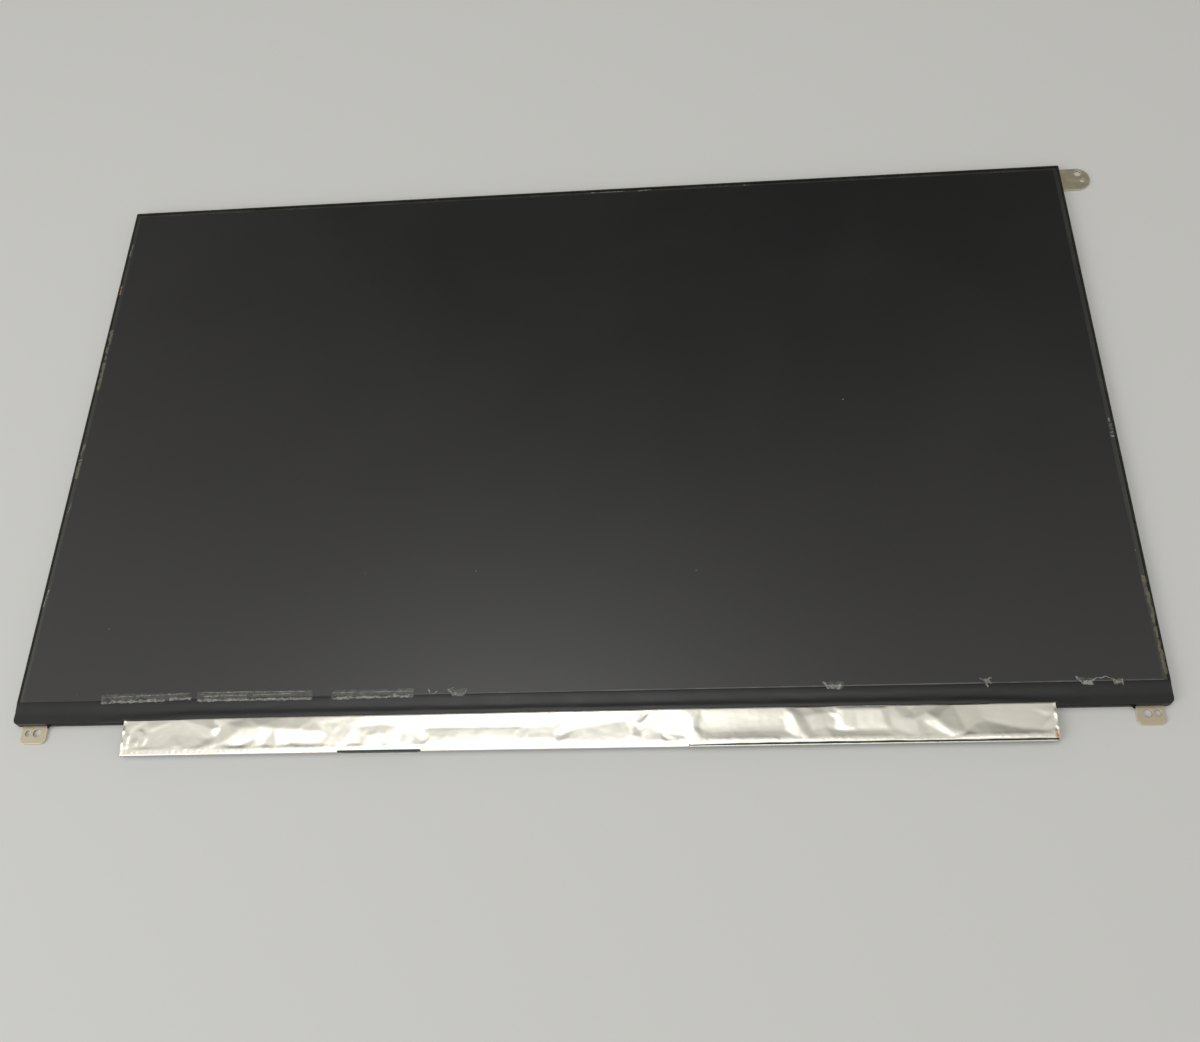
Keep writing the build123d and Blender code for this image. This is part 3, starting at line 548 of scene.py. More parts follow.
def add_piece(name, points, faces, material, slot, stands_for=(), smooth=True):
    """A mesh piece from points in millimetres; it rides on the panel."""
    mesh = bpy.data.meshes.new(name)
    mesh.from_pydata([tuple(p) for p in np.asarray(points, float) * MM], [], faces)
    mesh.validate()
    if smooth:
        mesh.shade_smooth()
    piece = bpy.data.objects.new(name, mesh)
    bpy.context.scene.collection.objects.link(piece)
    mesh.materials.append(material)
    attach(piece, BODY)
    if stands_for:
        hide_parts(*stands_for)
    return piece


def thicken(piece, thickness):
    """Give a one-sided sheet its thickness, grown away from its outer face."""
    solid = piece.modifiers.new("sheet_thickness", "SOLIDIFY")
    solid.thickness = thickness * MM
    solid.offset = -1.0
    solid.use_even_offset = False


def grid_faces(keep):
    """Quads of a grid of points, rows by columns, where keep is true; the outer face looks up."""
    rows, columns = keep.shape
    faces = []
    for r in range(rows):
        for c in range(columns):
            if keep[r, c]:
                corner = r * (columns + 1) + c
                faces.append((corner, corner + columns + 1, corner + columns + 2, corner + 1))
    return faces


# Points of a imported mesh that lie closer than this, in metres, are one point
WELD_REACH = 1e-6


def welded(name):
    """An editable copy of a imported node's mesh, with its split points joined."""
    mesh = bmesh.new()
    mesh.from_mesh(cad_mesh(name).data)
    bmesh.ops.remove_doubles(mesh, verts=mesh.verts, dist=WELD_REACH)
    return mesh


def whole_grid(rows, columns):
    """Quads of a grid of points with no gap."""
    return grid_faces(np.ones((rows - 1, columns - 1), bool))


def drop_loose(points, faces):
    """Remove the points that no face uses."""
    used = np.unique(np.array(faces).ravel())
    place = np.full(len(points), -1)
    place[used] = np.arange(len(used))
    return np.asarray(points)[used], [tuple(int(place[i]) for i in face) for face in faces]


def spaced(marks, step):
    """Values from the first mark to the last, about one step apart, that take in every mark."""
    stretches = []
    for start, end in zip(marks, marks[1:]):
        count = max(1, round(abs(end - start) / step))
        stretches.append(np.linspace(start, end, count, endpoint=False))
    return np.append(np.concatenate(stretches), marks[-1])


def wander(xs, ys, scale, seed):
    """Smooth noise between about -1 and 1 on a grid; scale is the size of its swells."""
    values = np.zeros(np.broadcast(xs, ys).shape)
    for index in np.ndindex(values.shape):
        values[index] = noise.noise(Vector((xs[index] / scale, ys[index] / scale, seed)))
    return values


def relief(xs, ys, height, scale, seed, share=1.0):
    """Noise of some height; share says how much of it is left at each point."""
    return share * height * wander(xs, ys, scale, seed)


def blurred(values, reach):
    """Rounds off creases: a short moving average both ways over the grid."""
    for axis in (0, 1):
        padded = np.pad(values, [(reach, reach) if a == axis else (0, 0) for a in (0, 1)], mode="edge")
        shifted = [np.roll(padded, s, axis) for s in range(-reach, reach + 1)]
        inner = [slice(reach, -reach) if a == axis else slice(None) for a in (0, 1)]
        values = (sum(shifted) / len(shifted))[tuple(inner)]
    return values


# How far outside a facet a point may lie and still count as on it
FACET_SLACK = 1e-6
# Corners closer together than this are one corner
FACET_WELD = 0.001


def folded(corners, xs, ys):
    """Flat facets stretched over corner points (x, y, height), sampled on a grid."""
    flat = [Vector((x, y)) for x, y, _ in corners]
    _, _, facets, origins, _, _ = geometry.delaunay_2d_cdt(flat, [], [], 0, FACET_WELD)
    places = [corners[source[0]] for source in origins]
    heights = np.zeros(xs.shape)
    for a, b, c in facets:
        (ax, ay, ah), (bx, by, bh), (cx, cy, ch) = places[a], places[b], places[c]
        area = (bx - ax) * (cy - ay) - (cx - ax) * (by - ay)
        share_b = ((xs - ax) * (cy - ay) - (cx - ax) * (ys - ay)) / area
        share_c = ((bx - ax) * (ys - ay) - (xs - ax) * (by - ay)) / area
        inside = (np.minimum(share_b, share_c) >= -FACET_SLACK) & (share_b + share_c <= 1 + FACET_SLACK)
        level = ah + share_b * (bh - ah) + share_c * (ch - ah)
        heights[inside] = level[inside]
    return heights


# Shield foil: corners of its main facets, as a place along the board, a share of the foil's width
# down from its upper edge, and a height over the board

FOIL_FACETS = (
    (-117.9, 0.30, 0.10), (-117.6, 0.52, 0.22), (-117.8, 0.76, 0.24), (-117.0, 0.66, 0.06),
    (-116.6, 0.40, 0.03), (-116.3, 0.84, 0.03), (-115.6, 0.28, 0.02), (-115.2, 0.66, 0.15),
    (-114.9, 0.46, 0.03), (-114.3, 0.80, 0.02), (-114.1, 0.34, 0.16), (-113.9, 0.58, 0.02),
    (-113.4, 0.26, 0.02), (-113.2, 0.48, 0.15), (-112.9, 0.68, 0.13), (-112.3, 0.36, 0.01),
    (-111.8, 0.26, 0.15), (-111.6, 0.54, 0.02),
    (-112.6, 0.72, 0.03), (-110.6, 0.36, 0.05), (-105.0, 0.42, 0.03), (-104.0, 0.76, 0.14),
    (-95.7, 0.56, -0.06), (-95.0, 0.78, 0.12), (-94.7, 0.33, 0.25), (-93.7, 0.52, 0.05),
    (-92.3, 0.26, -0.02), (-91.2, 0.14, 0.12), (-91.4, 0.66, 0.05), (-89.0, 0.46, 0.26),
    (-88.5, 0.80, -0.06), (-87.2, 0.28, 0.28), (-86.4, 0.56, 0.20), (-86.0, 0.73, -0.05),
    (-84.0, 0.86, 0.06), (-83.8, 0.30, 0.26), (-82.6, 0.60, 0.12), (-82.0, 0.25, 0.28),
    (-80.0, 0.68, -0.02), (-78.0, 0.32, 0.26), (-73.0, 0.72, -0.03), (-72.0, 0.36, 0.24),
    (-67.5, 0.12, 0.14), (-66.4, 0.74, 0.0), (-66.0, 0.42, 0.20), (-63.8, 0.52, 0.10),
    (-60.5, 0.84, 0.08), (-56.0, 0.30, 0.10), (-52.9, 0.56, 0.15), (-50.8, 0.25, 0.02),
    (-49.0, 0.50, 0.10), (-46.0, 0.30, 0.10), (-43.5, 0.45, 0.09), (-42.2, 0.82, 0.16),
    (-41.0, 0.55, 0.02), (-39.7, 0.25, 0.14), (-38.6, 0.50, 0.12), (-38.2, 0.74, 0.06),
    (-13.9, 0.44, 0.06),
    (-3.6, 0.46, 0.09), (-2.9, 0.66, 0.02),
    (-2.2, 0.40, 0.12), (-1.9, 0.12, 0.05), (-1.3, 0.56, 0.0), (-0.9, 0.30, 0.13),
    (-0.4, 0.72, 0.12), (0.6, 0.46, 0.0), (1.4, 0.80, 0.14), (4.0, 0.42, 0.0),
    (6.0, 0.80, 0.15), (8.7, 0.34, 0.0), (11.0, 0.78, 0.16), (13.6, 0.27, 0.0),
    (15.4, 0.68, 0.15), (15.9, 0.34, 0.10), (17.4, 0.50, 0.0), (17.6, 0.40, 0.14),
    (18.2, 0.74, 0.12), (18.8, 0.12, 0.0), (19.6, 0.15, 0.18), (20.6, 0.30, 0.10),
    (21.0, 0.08, 0.26), (22.4, 0.60, 0.01), (23.6, 0.84, 0.10), (24.2, 0.82, 0.0),
    (28.6, 0.70, 0.05), (30.0, 0.12, 0.28), (31.2, 0.48, 0.20), (31.8, 0.24, 0.22),
    (32.4, 0.50, 0.02), (33.0, 0.76, 0.10), (33.2, 0.24, 0.08),
    (56.2, 0.16, 0.20), (57.4, 0.46, 0.24), (59.4, 0.78, 0.16), (59.0, 0.26, 0.08),
    (62.6, 0.20, 0.15), (60.6, 0.62, 0.02), (64.2, 0.55, 0.08), (64.8, 0.16, 0.12),
    (66.2, 0.60, -0.04), (67.0, 0.32, 0.10), (67.4, 0.24, 0.28), (68.6, 0.52, 0.18),
    (69.4, 0.78, 0.10), (79.2, 0.50, 0.12), (79.6, 0.74, 0.02), (80.2, 0.24, 0.10),
    (80.6, 0.60, 0.02), (83.8, 0.34, 0.20), (85.4, 0.12, 0.08), (84.6, 0.76, 0.01),
    (86.8, 0.38, 0.22), (87.2, 0.76, 0.04), (88.2, 0.44, 0.04), (89.4, 0.22, 0.18),
    (90.0, 0.78, 0.0), (91.8, 0.38, 0.29), (91.4, 0.66, 0.04), (93.8, 0.60, 0.27),
    (93.2, 0.78, 0.03), (95.4, 0.78, 0.18), (96.8, 0.72, 0.20), (98.4, 0.78, 0.06),
    (98.8, 0.70, 0.03), (101.0, 0.53, 0.02), (102.2, 0.12, 0.0), (103.6, 0.45, 0.0),
    (106.5, 0.52, 0.0), (107.0, 0.20, 0.10), (109.9, 0.61, 0.0), (112.0, 0.30, 0.09),
    (112.0, 0.65, 0.0), (114.0, 0.68, 0.01), (115.0, 0.16, 0.12), (116.5, 0.70, 0.01),
    (117.4, 0.20, 0.13), (118.2, 0.34, 0.03),
    (118.6, 0.70, 0.02), (119.3, 0.50, 0.15), (119.8, 0.66, 0.04), (120.6, 0.30, 0.16),
    (120.6, 0.78, 0.18),
)
# Even stretches: two places along the board, then shares of the width with their heights
FOIL_BANDS = (
    (-37.0, -15.4, ((0.385, 0.0), (0.42, 0.035), (0.60, 0.105), (0.74, 0.14))),
    (-12.6, -4.4, ((0.39, 0.01), (0.72, 0.135))),
    (34.5, 54.0, ((0.10, 0.15), (0.34, 0.05), (0.50, 0.01), (0.62, 0.02), (0.74, 0.09))),
    (69.0, 78.4, ((0.08, 0.4), (0.64, 0.0))),
)
FOIL_STEP = 0.3
FOIL_THICKNESS = 0.06
FOIL_EDGE_SPACING = 9.0
FOIL_BAND_SPACING = 3.0
FOIL_BAND_START = -45.0
FOIL_OVERRUN = 3
FOIL_RIDGE_SHARE = 0.83
# Left of the even stretches, the lower row of corners: its shift along, its share and its step in height
FOIL_LEFT_ROW = (4.0, 0.91, 0.03)
FOIL_FOLD_ROUNDING = 1
FOIL_CREASE_ROUNDING = 1
FOIL_LOWEST = -0.06
# A place along the board, and how strongly the main facets stand out there
FOIL_FOLD_SHARE = ((-120, 0.9), (-100, 1.0), (-85, 1.2), (-60, 1.1), (-40, 1.0), (122, 1.0))
# Each noise: its height, the size of its swells and its seed
FOIL_SWELL = (0.016, 5.5, 3.0)
FOIL_CRUMPLE = (0.006, 1.3, 9.0)
FOIL_LUMPS = (0.05, 1.6, 15.0)
FOIL_RAGGED = (0.2, 1.4, 21.0)
FOIL_EDGE_FRAY = (0.04, 3.0, 27.0)
FOIL_TRIM_WAVE = (0.22, 7.0, 33.0)
WRAP_FRAY = (0.1, 2.5, 61.0)
# Shares of the foil's width, at its upper and lower edge, over which swells and crumples fade out
FOIL_INNER = (0.12, 0.08)
# Small facets: size, height, seed, how far their grid reaches past the foil, and how far corners stray
FOIL_SMALL_FACET = 2.1
FOIL_SMALL_HEIGHT = 0.045
FOIL_SMALL_SEED = 41
FOIL_SMALL_MARGIN = (4, 2)
FOIL_SMALL_SHIFT = 0.42
# Their strength in the calm stretch, in the busy ones and elsewhere
FOIL_SMALL_SHARES = (0.12, 0.8, 0.4)
# The calm stretch; the busy ones lie left of the first place and between the other two
FOIL_CALM = (34.0, 55.0)
FOIL_BUSY = (-45.0, -15.0, 0.0)
FOIL_ROLL = 1.7
# The rolled rim takes over from this far above the lower edge, within this length
FOIL_ROLL_BLEND = (2.5, 1.3)
# Rolled rim: a place along the board, and its height there
FOIL_ROLL_TOP = (
    (-120, 0.09), (-45, 0.09), (-38, 0.12), (15, 0.14), (23, 0.08), (33, 0.12), (46, 0.16), (55, 0.12),
    (68, 0.12), (80, 0.08), (83, 0.03), (95, 0.04), (99, 0.18), (106, 0.25), (112, 0.18), (118, 0.1),
    (122, 0.1),
)
FOIL_BEND = 0.2
FOIL_BEND_FADE = 0.25
FOIL_BEND_TURNS = np.radians((22.5, 45.0, 67.5, 90.0))
FOIL_LIP = 2.0
FOIL_LIP_FOLD = 0.1
FOIL_NOTCH_MARGIN = 0.2
FOIL_NOTCH_DEPTH = 0.4
FOIL_WRAP_END = 30.0
FOIL_TRIM_DEPTH = 0.6
FOIL_TRIM_OPENING = 14.0
# Share of the width from which the trimmed edge strays, and the share over which it comes in full
FOIL_TRIM_START = 10 / 12
FOIL_TRIM_LENGTH = 1 / 12
WRAP_STEP = 0.6
WRAP_END_INSET = 0.5
WRAP_REACH = 0.3
WRAP_SKIN = 0.05
WRAP_THICKNESS = 0.6 * WRAP_SKIN
# Where the wrap turns over the board's rim: how far in from it, and how far down
WRAP_TURN = (0.02, 0.07)
FOIL_SLANT = 0.35
FOIL_END_REACH = 6.0
# Curl of both ends: its height, its reach along the foil and the pace of its waves
FOIL_END_CURL = (0.22, 0.9, 1.7)
# Upper edge: a place along the board, and its height there
FOIL_EDGE_LIFT = (
    (-120, 0.04), (-100, 0.06), (-90, 0.12), (-65, 0.12), (-50, 0.15), (16, 0.13), (22, 0.28), (30, 0.28),
    (36, 0.16), (54, 0.17), (58, 0.02), (65, 0.02), (69, 0.28), (78, 0.28), (82, 0.1), (90, 0.1), (94, 0.0),
    (102, 0.0), (107, 0.13), (122, 0.13),
)
# Upper edge: a place along the board, and how far the edge strays from a straight line
FOIL_EDGE_STRAY = ((-120.0, -0.3), (-80.0, -0.15), (10.0, 0.05), (70.0, 0.06), (122.0, -0.02))


def smooth_step(values):
    """Values held between 0 and 1, easing in and out."""
    held = np.clip(values, 0, 1)
    return held * held * (3 - 2 * held)


def along_board(xs, rows):
    """The value at a place along the board, from rows of places and values."""
    return np.interp(xs, *zip(*rows))


def edge_stray(xs):
    """How far the foil's upper edge, and the tape's edge with it, strays from a straight line."""
    return along_board(xs, FOIL_EDGE_STRAY)


def small_facets(xs, ys):
    """Seeded small facets all over the foil, stronger to the left and nearly gone in its calm stretch."""
    draw = random.Random(FOIL_SMALL_SEED)
    beyond_x, beyond_y = FOIL_SMALL_MARGIN
    calm_share, busy_share, plain_share = FOIL_SMALL_SHARES
    shift = FOIL_SMALL_SHIFT * FOIL_SMALL_FACET
    corners = []
    for x in np.arange(FOIL_LOW.x - beyond_x, FOIL_HIGH.x + beyond_x, FOIL_SMALL_FACET):
        calm = FOIL_CALM[0] < x < FOIL_CALM[1]
        busy = x < FOIL_BUSY[0] or FOIL_BUSY[1] < x < FOIL_BUSY[2]
        height = FOIL_SMALL_HEIGHT * (calm_share if calm else busy_share if busy else plain_share)
        for y in np.arange(FOIL_LOW.y - beyond_y, FOIL_HIGH.y + beyond_y, FOIL_SMALL_FACET):
            place = (x + draw.uniform(-shift, shift), y + draw.uniform(-shift, shift))
            corners.append((*place, draw.uniform(0, height)))
    return folded(corners, xs, ys)


def foil_corners():
    """Corners of the main facets: the listed ones, rows along both edges, and the even stretches."""
    width = FOIL_HIGH.y - FOIL_LOW.y
    edge_places = spaced([FOIL_LOW.x - FOIL_OVERRUN, FOIL_HIGH.x + FOIL_OVERRUN], FOIL_EDGE_SPACING)
    shift, low_share, rise = FOIL_LEFT_ROW
    facets = list(FOIL_FACETS)
    for index, x in enumerate(edge_places[edge_places < FOIL_BAND_START]):
        facets.append((x, 0.0, along_board(x, FOIL_EDGE_LIFT)))
        facets += [(x + shift, low_share, rise * (index % 3)), (x, 1.0, 0.0)]
    for x in np.arange(FOIL_BAND_START, FOIL_HIGH.x + FOIL_OVERRUN, FOIL_BAND_SPACING):
        facets += [(x, 0.0, along_board(x, FOIL_EDGE_LIFT)), (x, 1.0, 0.0)]
        facets.append((x, FOIL_RIDGE_SHARE, along_board(x, FOIL_ROLL_TOP)))
    for start, end, rows in FOIL_BANDS:
        facets += [(x, share, h) for x in spaced([start, end], FOIL_BAND_SPACING) for share, h in rows]
    return [(x, FOIL_HIGH.y - share * width, h) for x, share, h in facets]


def foil_heights(xs, shares, ys):
    """Height of the crumpled foil over the board: facets, swells, fine crumples and the rolled rim."""
    facets = blurred(folded(foil_corners(), xs, ys), FOIL_FOLD_ROUNDING)
    heights = along_board(xs, FOIL_FOLD_SHARE) * facets
    heights += blurred(small_facets(xs, ys), FOIL_CREASE_ROUNDING)
    from_top, from_bottom = FOIL_INNER
    inner = np.clip(shares / from_top, 0, 1) * np.clip((1 - shares) / from_bottom, 0, 1)
    heights += relief(xs, ys, *FOIL_SWELL, inner)
    heights += relief(xs, ys, *FOIL_CRUMPLE, inner)
    above_edge = (1 - shares) * (FOIL_HIGH.y - FOIL_LOW.y)
    fall = smooth_step((FOIL_ROLL - above_edge) / FOIL_ROLL)
    top = along_board(xs, FOIL_ROLL_TOP)
    rolled = top - fall * top + np.abs(relief(xs, ys, *FOIL_LUMPS))
    start, length = FOIL_ROLL_BLEND
    near_edge = smooth_step((start - above_edge) / length)
    return np.maximum(heights + near_edge * (rolled - heights), FOIL_LOWEST)


def foil_outline(xs, ys):
    """Move a flat grid to the foil's outline: stray upper edge, slanted and ragged ends, wavy trim."""
    flat = np.zeros_like(xs)
    share = np.clip((FOIL_HIGH.y - ys) / (FOIL_HIGH.y - FOIL_LOW.y), 0, 1)
    ragged = np.abs(relief(flat, ys, *FOIL_RAGGED))
    near_left = np.clip(1 - (xs - FOIL_LOW.x) / FOIL_END_REACH, 0, 1)
    near_right = np.clip(1 - (FOIL_HIGH.x - xs) / FOIL_END_REACH, 0, 1)
    moved = xs + near_left * (FOIL_SLANT * share + ragged) - near_right * ragged
    stray = edge_stray(xs) + relief(xs, flat, *FOIL_EDGE_FRAY)
    opened = np.clip((xs - FOIL_WRAP_END) / FOIL_TRIM_OPENING, 0, 1)
    shift = relief(xs, flat, *FOIL_TRIM_WAVE) * opened
    shift -= (FOIL_TRIM_DEPTH - WRAP_REACH) * (1 - opened)
    low_down = np.clip((share - FOIL_TRIM_START) / FOIL_TRIM_LENGTH, 0, 1)
    at_trim = np.where(xs > FOIL_WRAP_END, low_down, 0)
    return moved, ys + stray * (1 - share) ** 3 + shift * at_trim


def make_foil():
    """The foil over the board, bent round its lower edge up to the wrap's end, with a connector notch."""
    notch_left = SHELL_LOW.x - FOIL_NOTCH_MARGIN
    notch_right = SHELL_HIGH.x + FOIL_NOTCH_MARGIN
    notch_line = BOARD_LOW.y + FOIL_NOTCH_DEPTH
    trim_line = BOARD_LOW.y + FOIL_TRIM_DEPTH
    bend_line = FOIL_LOW.y + FOIL_BEND
    across = spaced([FOIL_LOW.x, notch_left, notch_right, FOIL_WRAP_END, FOIL_HIGH.x], FOIL_STEP)
    down = spaced([FOIL_HIGH.y, trim_line, notch_line, bend_line], FOIL_STEP)
    face = FILM_HIGH.z + FOIL_THICKNESS
    xs, ys = np.meshgrid(across, down)
    shares = (FOIL_HIGH.y - ys) / (FOIL_HIGH.y - FOIL_LOW.y)
    fade = np.clip((ys - bend_line) / FOIL_BEND_FADE, 0, 1)
    from_end = np.minimum(FOIL_HIGH.x - xs, xs - FOIL_LOW.x)
    height, reach, pace = FOIL_END_CURL
    end_curl = height * np.clip(1 - from_end / reach, 0, 1) * (0.5 + 0.5 * np.sin(ys * pace))
    rows = [(ys, face + (foil_heights(xs, shares, ys) + end_curl) * fade)]
    line = np.ones_like(xs[:1])
    for turn in FOIL_BEND_TURNS:
        out, fall = FOIL_BEND * math.sin(turn), FOIL_BEND * (1 - math.cos(turn))
        rows.append((line * (bend_line - out), line * (face - fall)))
    lip = FOIL_LOW.z
    for inward, level in ((0.0, lip + FOIL_LIP_FOLD), (FOIL_LIP_FOLD, lip), (FOIL_LIP, lip)):
        rows.append((line * (FOIL_LOW.y + inward), line * level))
    ys, zs = (np.concatenate([row[axis] for row in rows]) for axis in range(2))
    xs = np.broadcast_to(across, ys.shape)
    middle = (xs[:-1, :-1] + xs[:-1, 1:]) / 2
    row = np.arange(len(xs) - 1)[:, None]
    below_notch = row >= np.argmin(np.abs(down - notch_line))
    below_trim = row >= np.argmin(np.abs(down - trim_line))
    in_notch = (middle > notch_left) & (middle < notch_right) & below_notch
    unwrapped = (middle > FOIL_WRAP_END) & below_trim
    points = np.stack([*foil_outline(xs, ys), zs], -1).reshape(-1, 3)
    sheet = drop_loose(points, grid_faces(~(in_notch | unwrapped)))
    # Its bend and lip below the board's face take the foil's painted shade
    foil = add_piece("crumpled_foil", *sheet, FINISH["shield_foil"], "shield_foil", ("shield_foil",))
    thicken(foil, FOIL_THICKNESS)


def make_wrap():
    """The under layer of the foil past the wrap's end: a narrow edge folded up over the board's rim."""
    across = spaced([FOIL_WRAP_END, FOIL_HIGH.x - WRAP_END_INSET], WRAP_STEP)
    outer = BOARD_LOW.y - WRAP_SKIN
    top = BOARD_HIGH.z + WRAP_SKIN
    inward, downward = WRAP_TURN
    profile = (
        (BOARD_LOW.y + WRAP_REACH, top),
        (BOARD_LOW.y + inward, top),
        (outer, top - downward),
        (outer, BOARD_LOW.z),
    )
    xs = np.tile(across, (len(profile), 1))
    ys, zs = (np.array([row[axis] for row in profile])[:, None] * np.ones_like(xs) for axis in range(2))
    ys[0] += relief(across, np.zeros_like(across), *WRAP_FRAY)
    points = np.stack([xs, ys, zs], -1).reshape(-1, 3)
    faces = whole_grid(len(profile), len(across))
    # Its side below the board's face takes the foil's painted shade
    wrap = add_piece("foil_wrap_edge", points, faces, FINISH["shield_foil"], "shield_foil")
    thicken(wrap, WRAP_THICKNESS)


# Screen sheet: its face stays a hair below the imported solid, so that residue on it keeps inside the box

SHEET_TOP = SCREEN_HIGH.z - 0.02
SIDE_CUT = 0.12
LOWER_CUT = 0.2
# Foot of the lower rim: how far below the tape's upper edge, and how far over its face
RIM_FOOT = (0.05, 0.005)


def rectangle(low, high, level):
    """Corners of a level rectangle, anticlockwise from the lower left."""
    (left, bottom), (right, top) = low[:2], high[:2]
    return [(left, bottom, level), (right, bottom, level), (right, top, level), (left, top, level)]


def make_screen():
    """The film's flat face and, as a piece of its own, the sloped rim where it was cut."""
    inner_low = (SCREEN_LOW.x + SIDE_CUT, SCREEN_LOW.y + LOWER_CUT)
    inner_high = (SCREEN_HIGH.x - SIDE_CUT, SCREEN_HIGH.y - SIDE_CUT)
    upper = rectangle(inner_low, inner_high, SHEET_TOP)
    lower = rectangle(inner_low, inner_high, SCREEN_LOW.z)
    sides = [(k, k + 4, (k + 1) % 4 + 4, (k + 1) % 4) for k in range(4)]
    faces = [(0, 1, 2, 3), (7, 6, 5, 4)] + sides
    finish = FINISH["screen_film"]
    add_piece("screen_sheet", upper + lower, faces, finish, "screen_film", ("front_polarizer",), smooth=False)
    below, lift = RIM_FOOT
    foot_low = (SCREEN_LOW.x, TAPE_HIGH.y - below)
    on_tape = rectangle(foot_low, SCREEN_HIGH, TAPE_HIGH.z + lift)[:2]
    on_glass = rectangle(foot_low, SCREEN_HIGH, SCREEN_LOW.z)[2:]
    # The sloped rim carries the film's painted highlight
    add_piece("screen_painted_rim_highlight", upper + on_tape + on_glass, sides, PAINTED_RIM_HIGHLIGHT, "screen_film", smooth=False)


# Cover tape

TAPE_STEP = 0.45
TAPE_ROW_STEP = 0.18
TAPE_THICKNESS = 0.08
TAPE_FLAT_END = SCREEN_LOW.y - 0.5
TAPE_SLOPE_END = SCREEN_LOW.y - 4.0
TAPE_LEVEL = FILM_HIGH.z + TAPE_THICKNESS
# Lip over the frame: shares of its depth, and their levels
TAPE_LIP = ((0.75, TAPE_LEVEL - 0.03), (1.0, TAPE_LEVEL - 0.09), (1.0, TAPE_LOW.z))
# Below this line the tape's lip takes the finish with painted shade
TAPE_LIP_SHADE_LINE = PANEL_LOW.y - 0.01
TAB_SIDES = (140.8, 147.8)
# Loose corner of the lip beside each lower tab: distances from the tab, depth, and levels
EAR_WIDTH = 1.6
EAR_GAP = 0.05
EAR_TIP_GAP = 0.2
EAR_DEPTH = 0.9
EAR_LEVEL = TAPE_LEVEL - 0.3
EAR_TIP_LEVEL = 1.0
# Bay that the foil lies in: its two ends, its edge, and how softly the edge turns wavy
BAY = (FOIL_LOW.x - 0.25, FOIL_HIGH.x + 0.25)
BAY_END = FOIL_HIGH.y + 0.04
BAY_BLEND = 1.5
BAY_EDGE_REACH = 1.6
CORNER_RADIUS = 1.6
CORNER_TURNS = np.radians(np.arange(0, 91, 9))
RIPPLE_HEIGHT = 0.17
RIPPLE_RISE = 1.2
RIPPLE_FALL = 0.9
# At the left and right end of the bay: how far past it the bulge starts, and the length of its bend
RIPPLE_LEFT = (6, 26)
RIPPLE_RIGHT = (5, 24)
RIPPLE_FADE = 3
# The crest over the frame's lower edge at the bay's ends, and how much higher up it runs between them
RIPPLE_CREST = (0.2, 1.6)
RIPPLE_LEAST = 0.35
# Each noise: its height, the size of its swells and its seed
CREST_WANDER = (0.15, 16.0, 31.0)
TAPE_FRAY = (0.05, 2.2, 51.0)
TAPE_WAVES = (0.5, 1.3, 37.0)
TAPE_WAVE_STRETCH = 5.0
TAPE_WAVE_HEIGHT = 0.04


def tape_level(ys):
    """Height of the tape's face across the border, without its ripples."""
    fall = smooth_step((TAPE_FLAT_END - ys) / (TAPE_FLAT_END - TAPE_SLOPE_END))
    return TAPE_HIGH.z + fall * (TAPE_LEVEL - TAPE_HIGH.z)


def tape_ripples(xs, ys):
    """One long bulge over the driver films, drawn down to the bay's ends, and slow waves."""
    past_left, bend_left = RIPPLE_LEFT
    past_right, bend_right = RIPPLE_RIGHT
    inward = smooth_step((xs - BAY[0] + past_left) / bend_left)
    inward *= smooth_step((BAY[1] + past_right - xs) / bend_right)
    low, rise = RIPPLE_CREST
    crest = PANEL_LOW.y + low + rise * inward + relief(xs, np.zeros_like(ys), *CREST_WANDER)
    reach = np.where(ys > crest, RIPPLE_RISE, RIPPLE_FALL)
    bulge = np.exp(-(((ys - crest) / reach) ** 2)) * (RIPPLE_LEAST + (1 - RIPPLE_LEAST) * inward)
    slow = 0.5 + relief(xs / TAPE_WAVE_STRETCH, ys, *TAPE_WAVES)
    below_slope = np.clip(TAPE_FLAT_END - ys, 0, 1)
    outside_bay = np.maximum(BAY[0] - past_left - xs, xs - BAY[1] - past_right) / RIPPLE_FADE
    shown = below_slope * (1 - np.clip(outside_bay, 0, 1))
    return shown * (RIPPLE_HEIGHT * bulge + TAPE_WAVE_HEIGHT * slow)


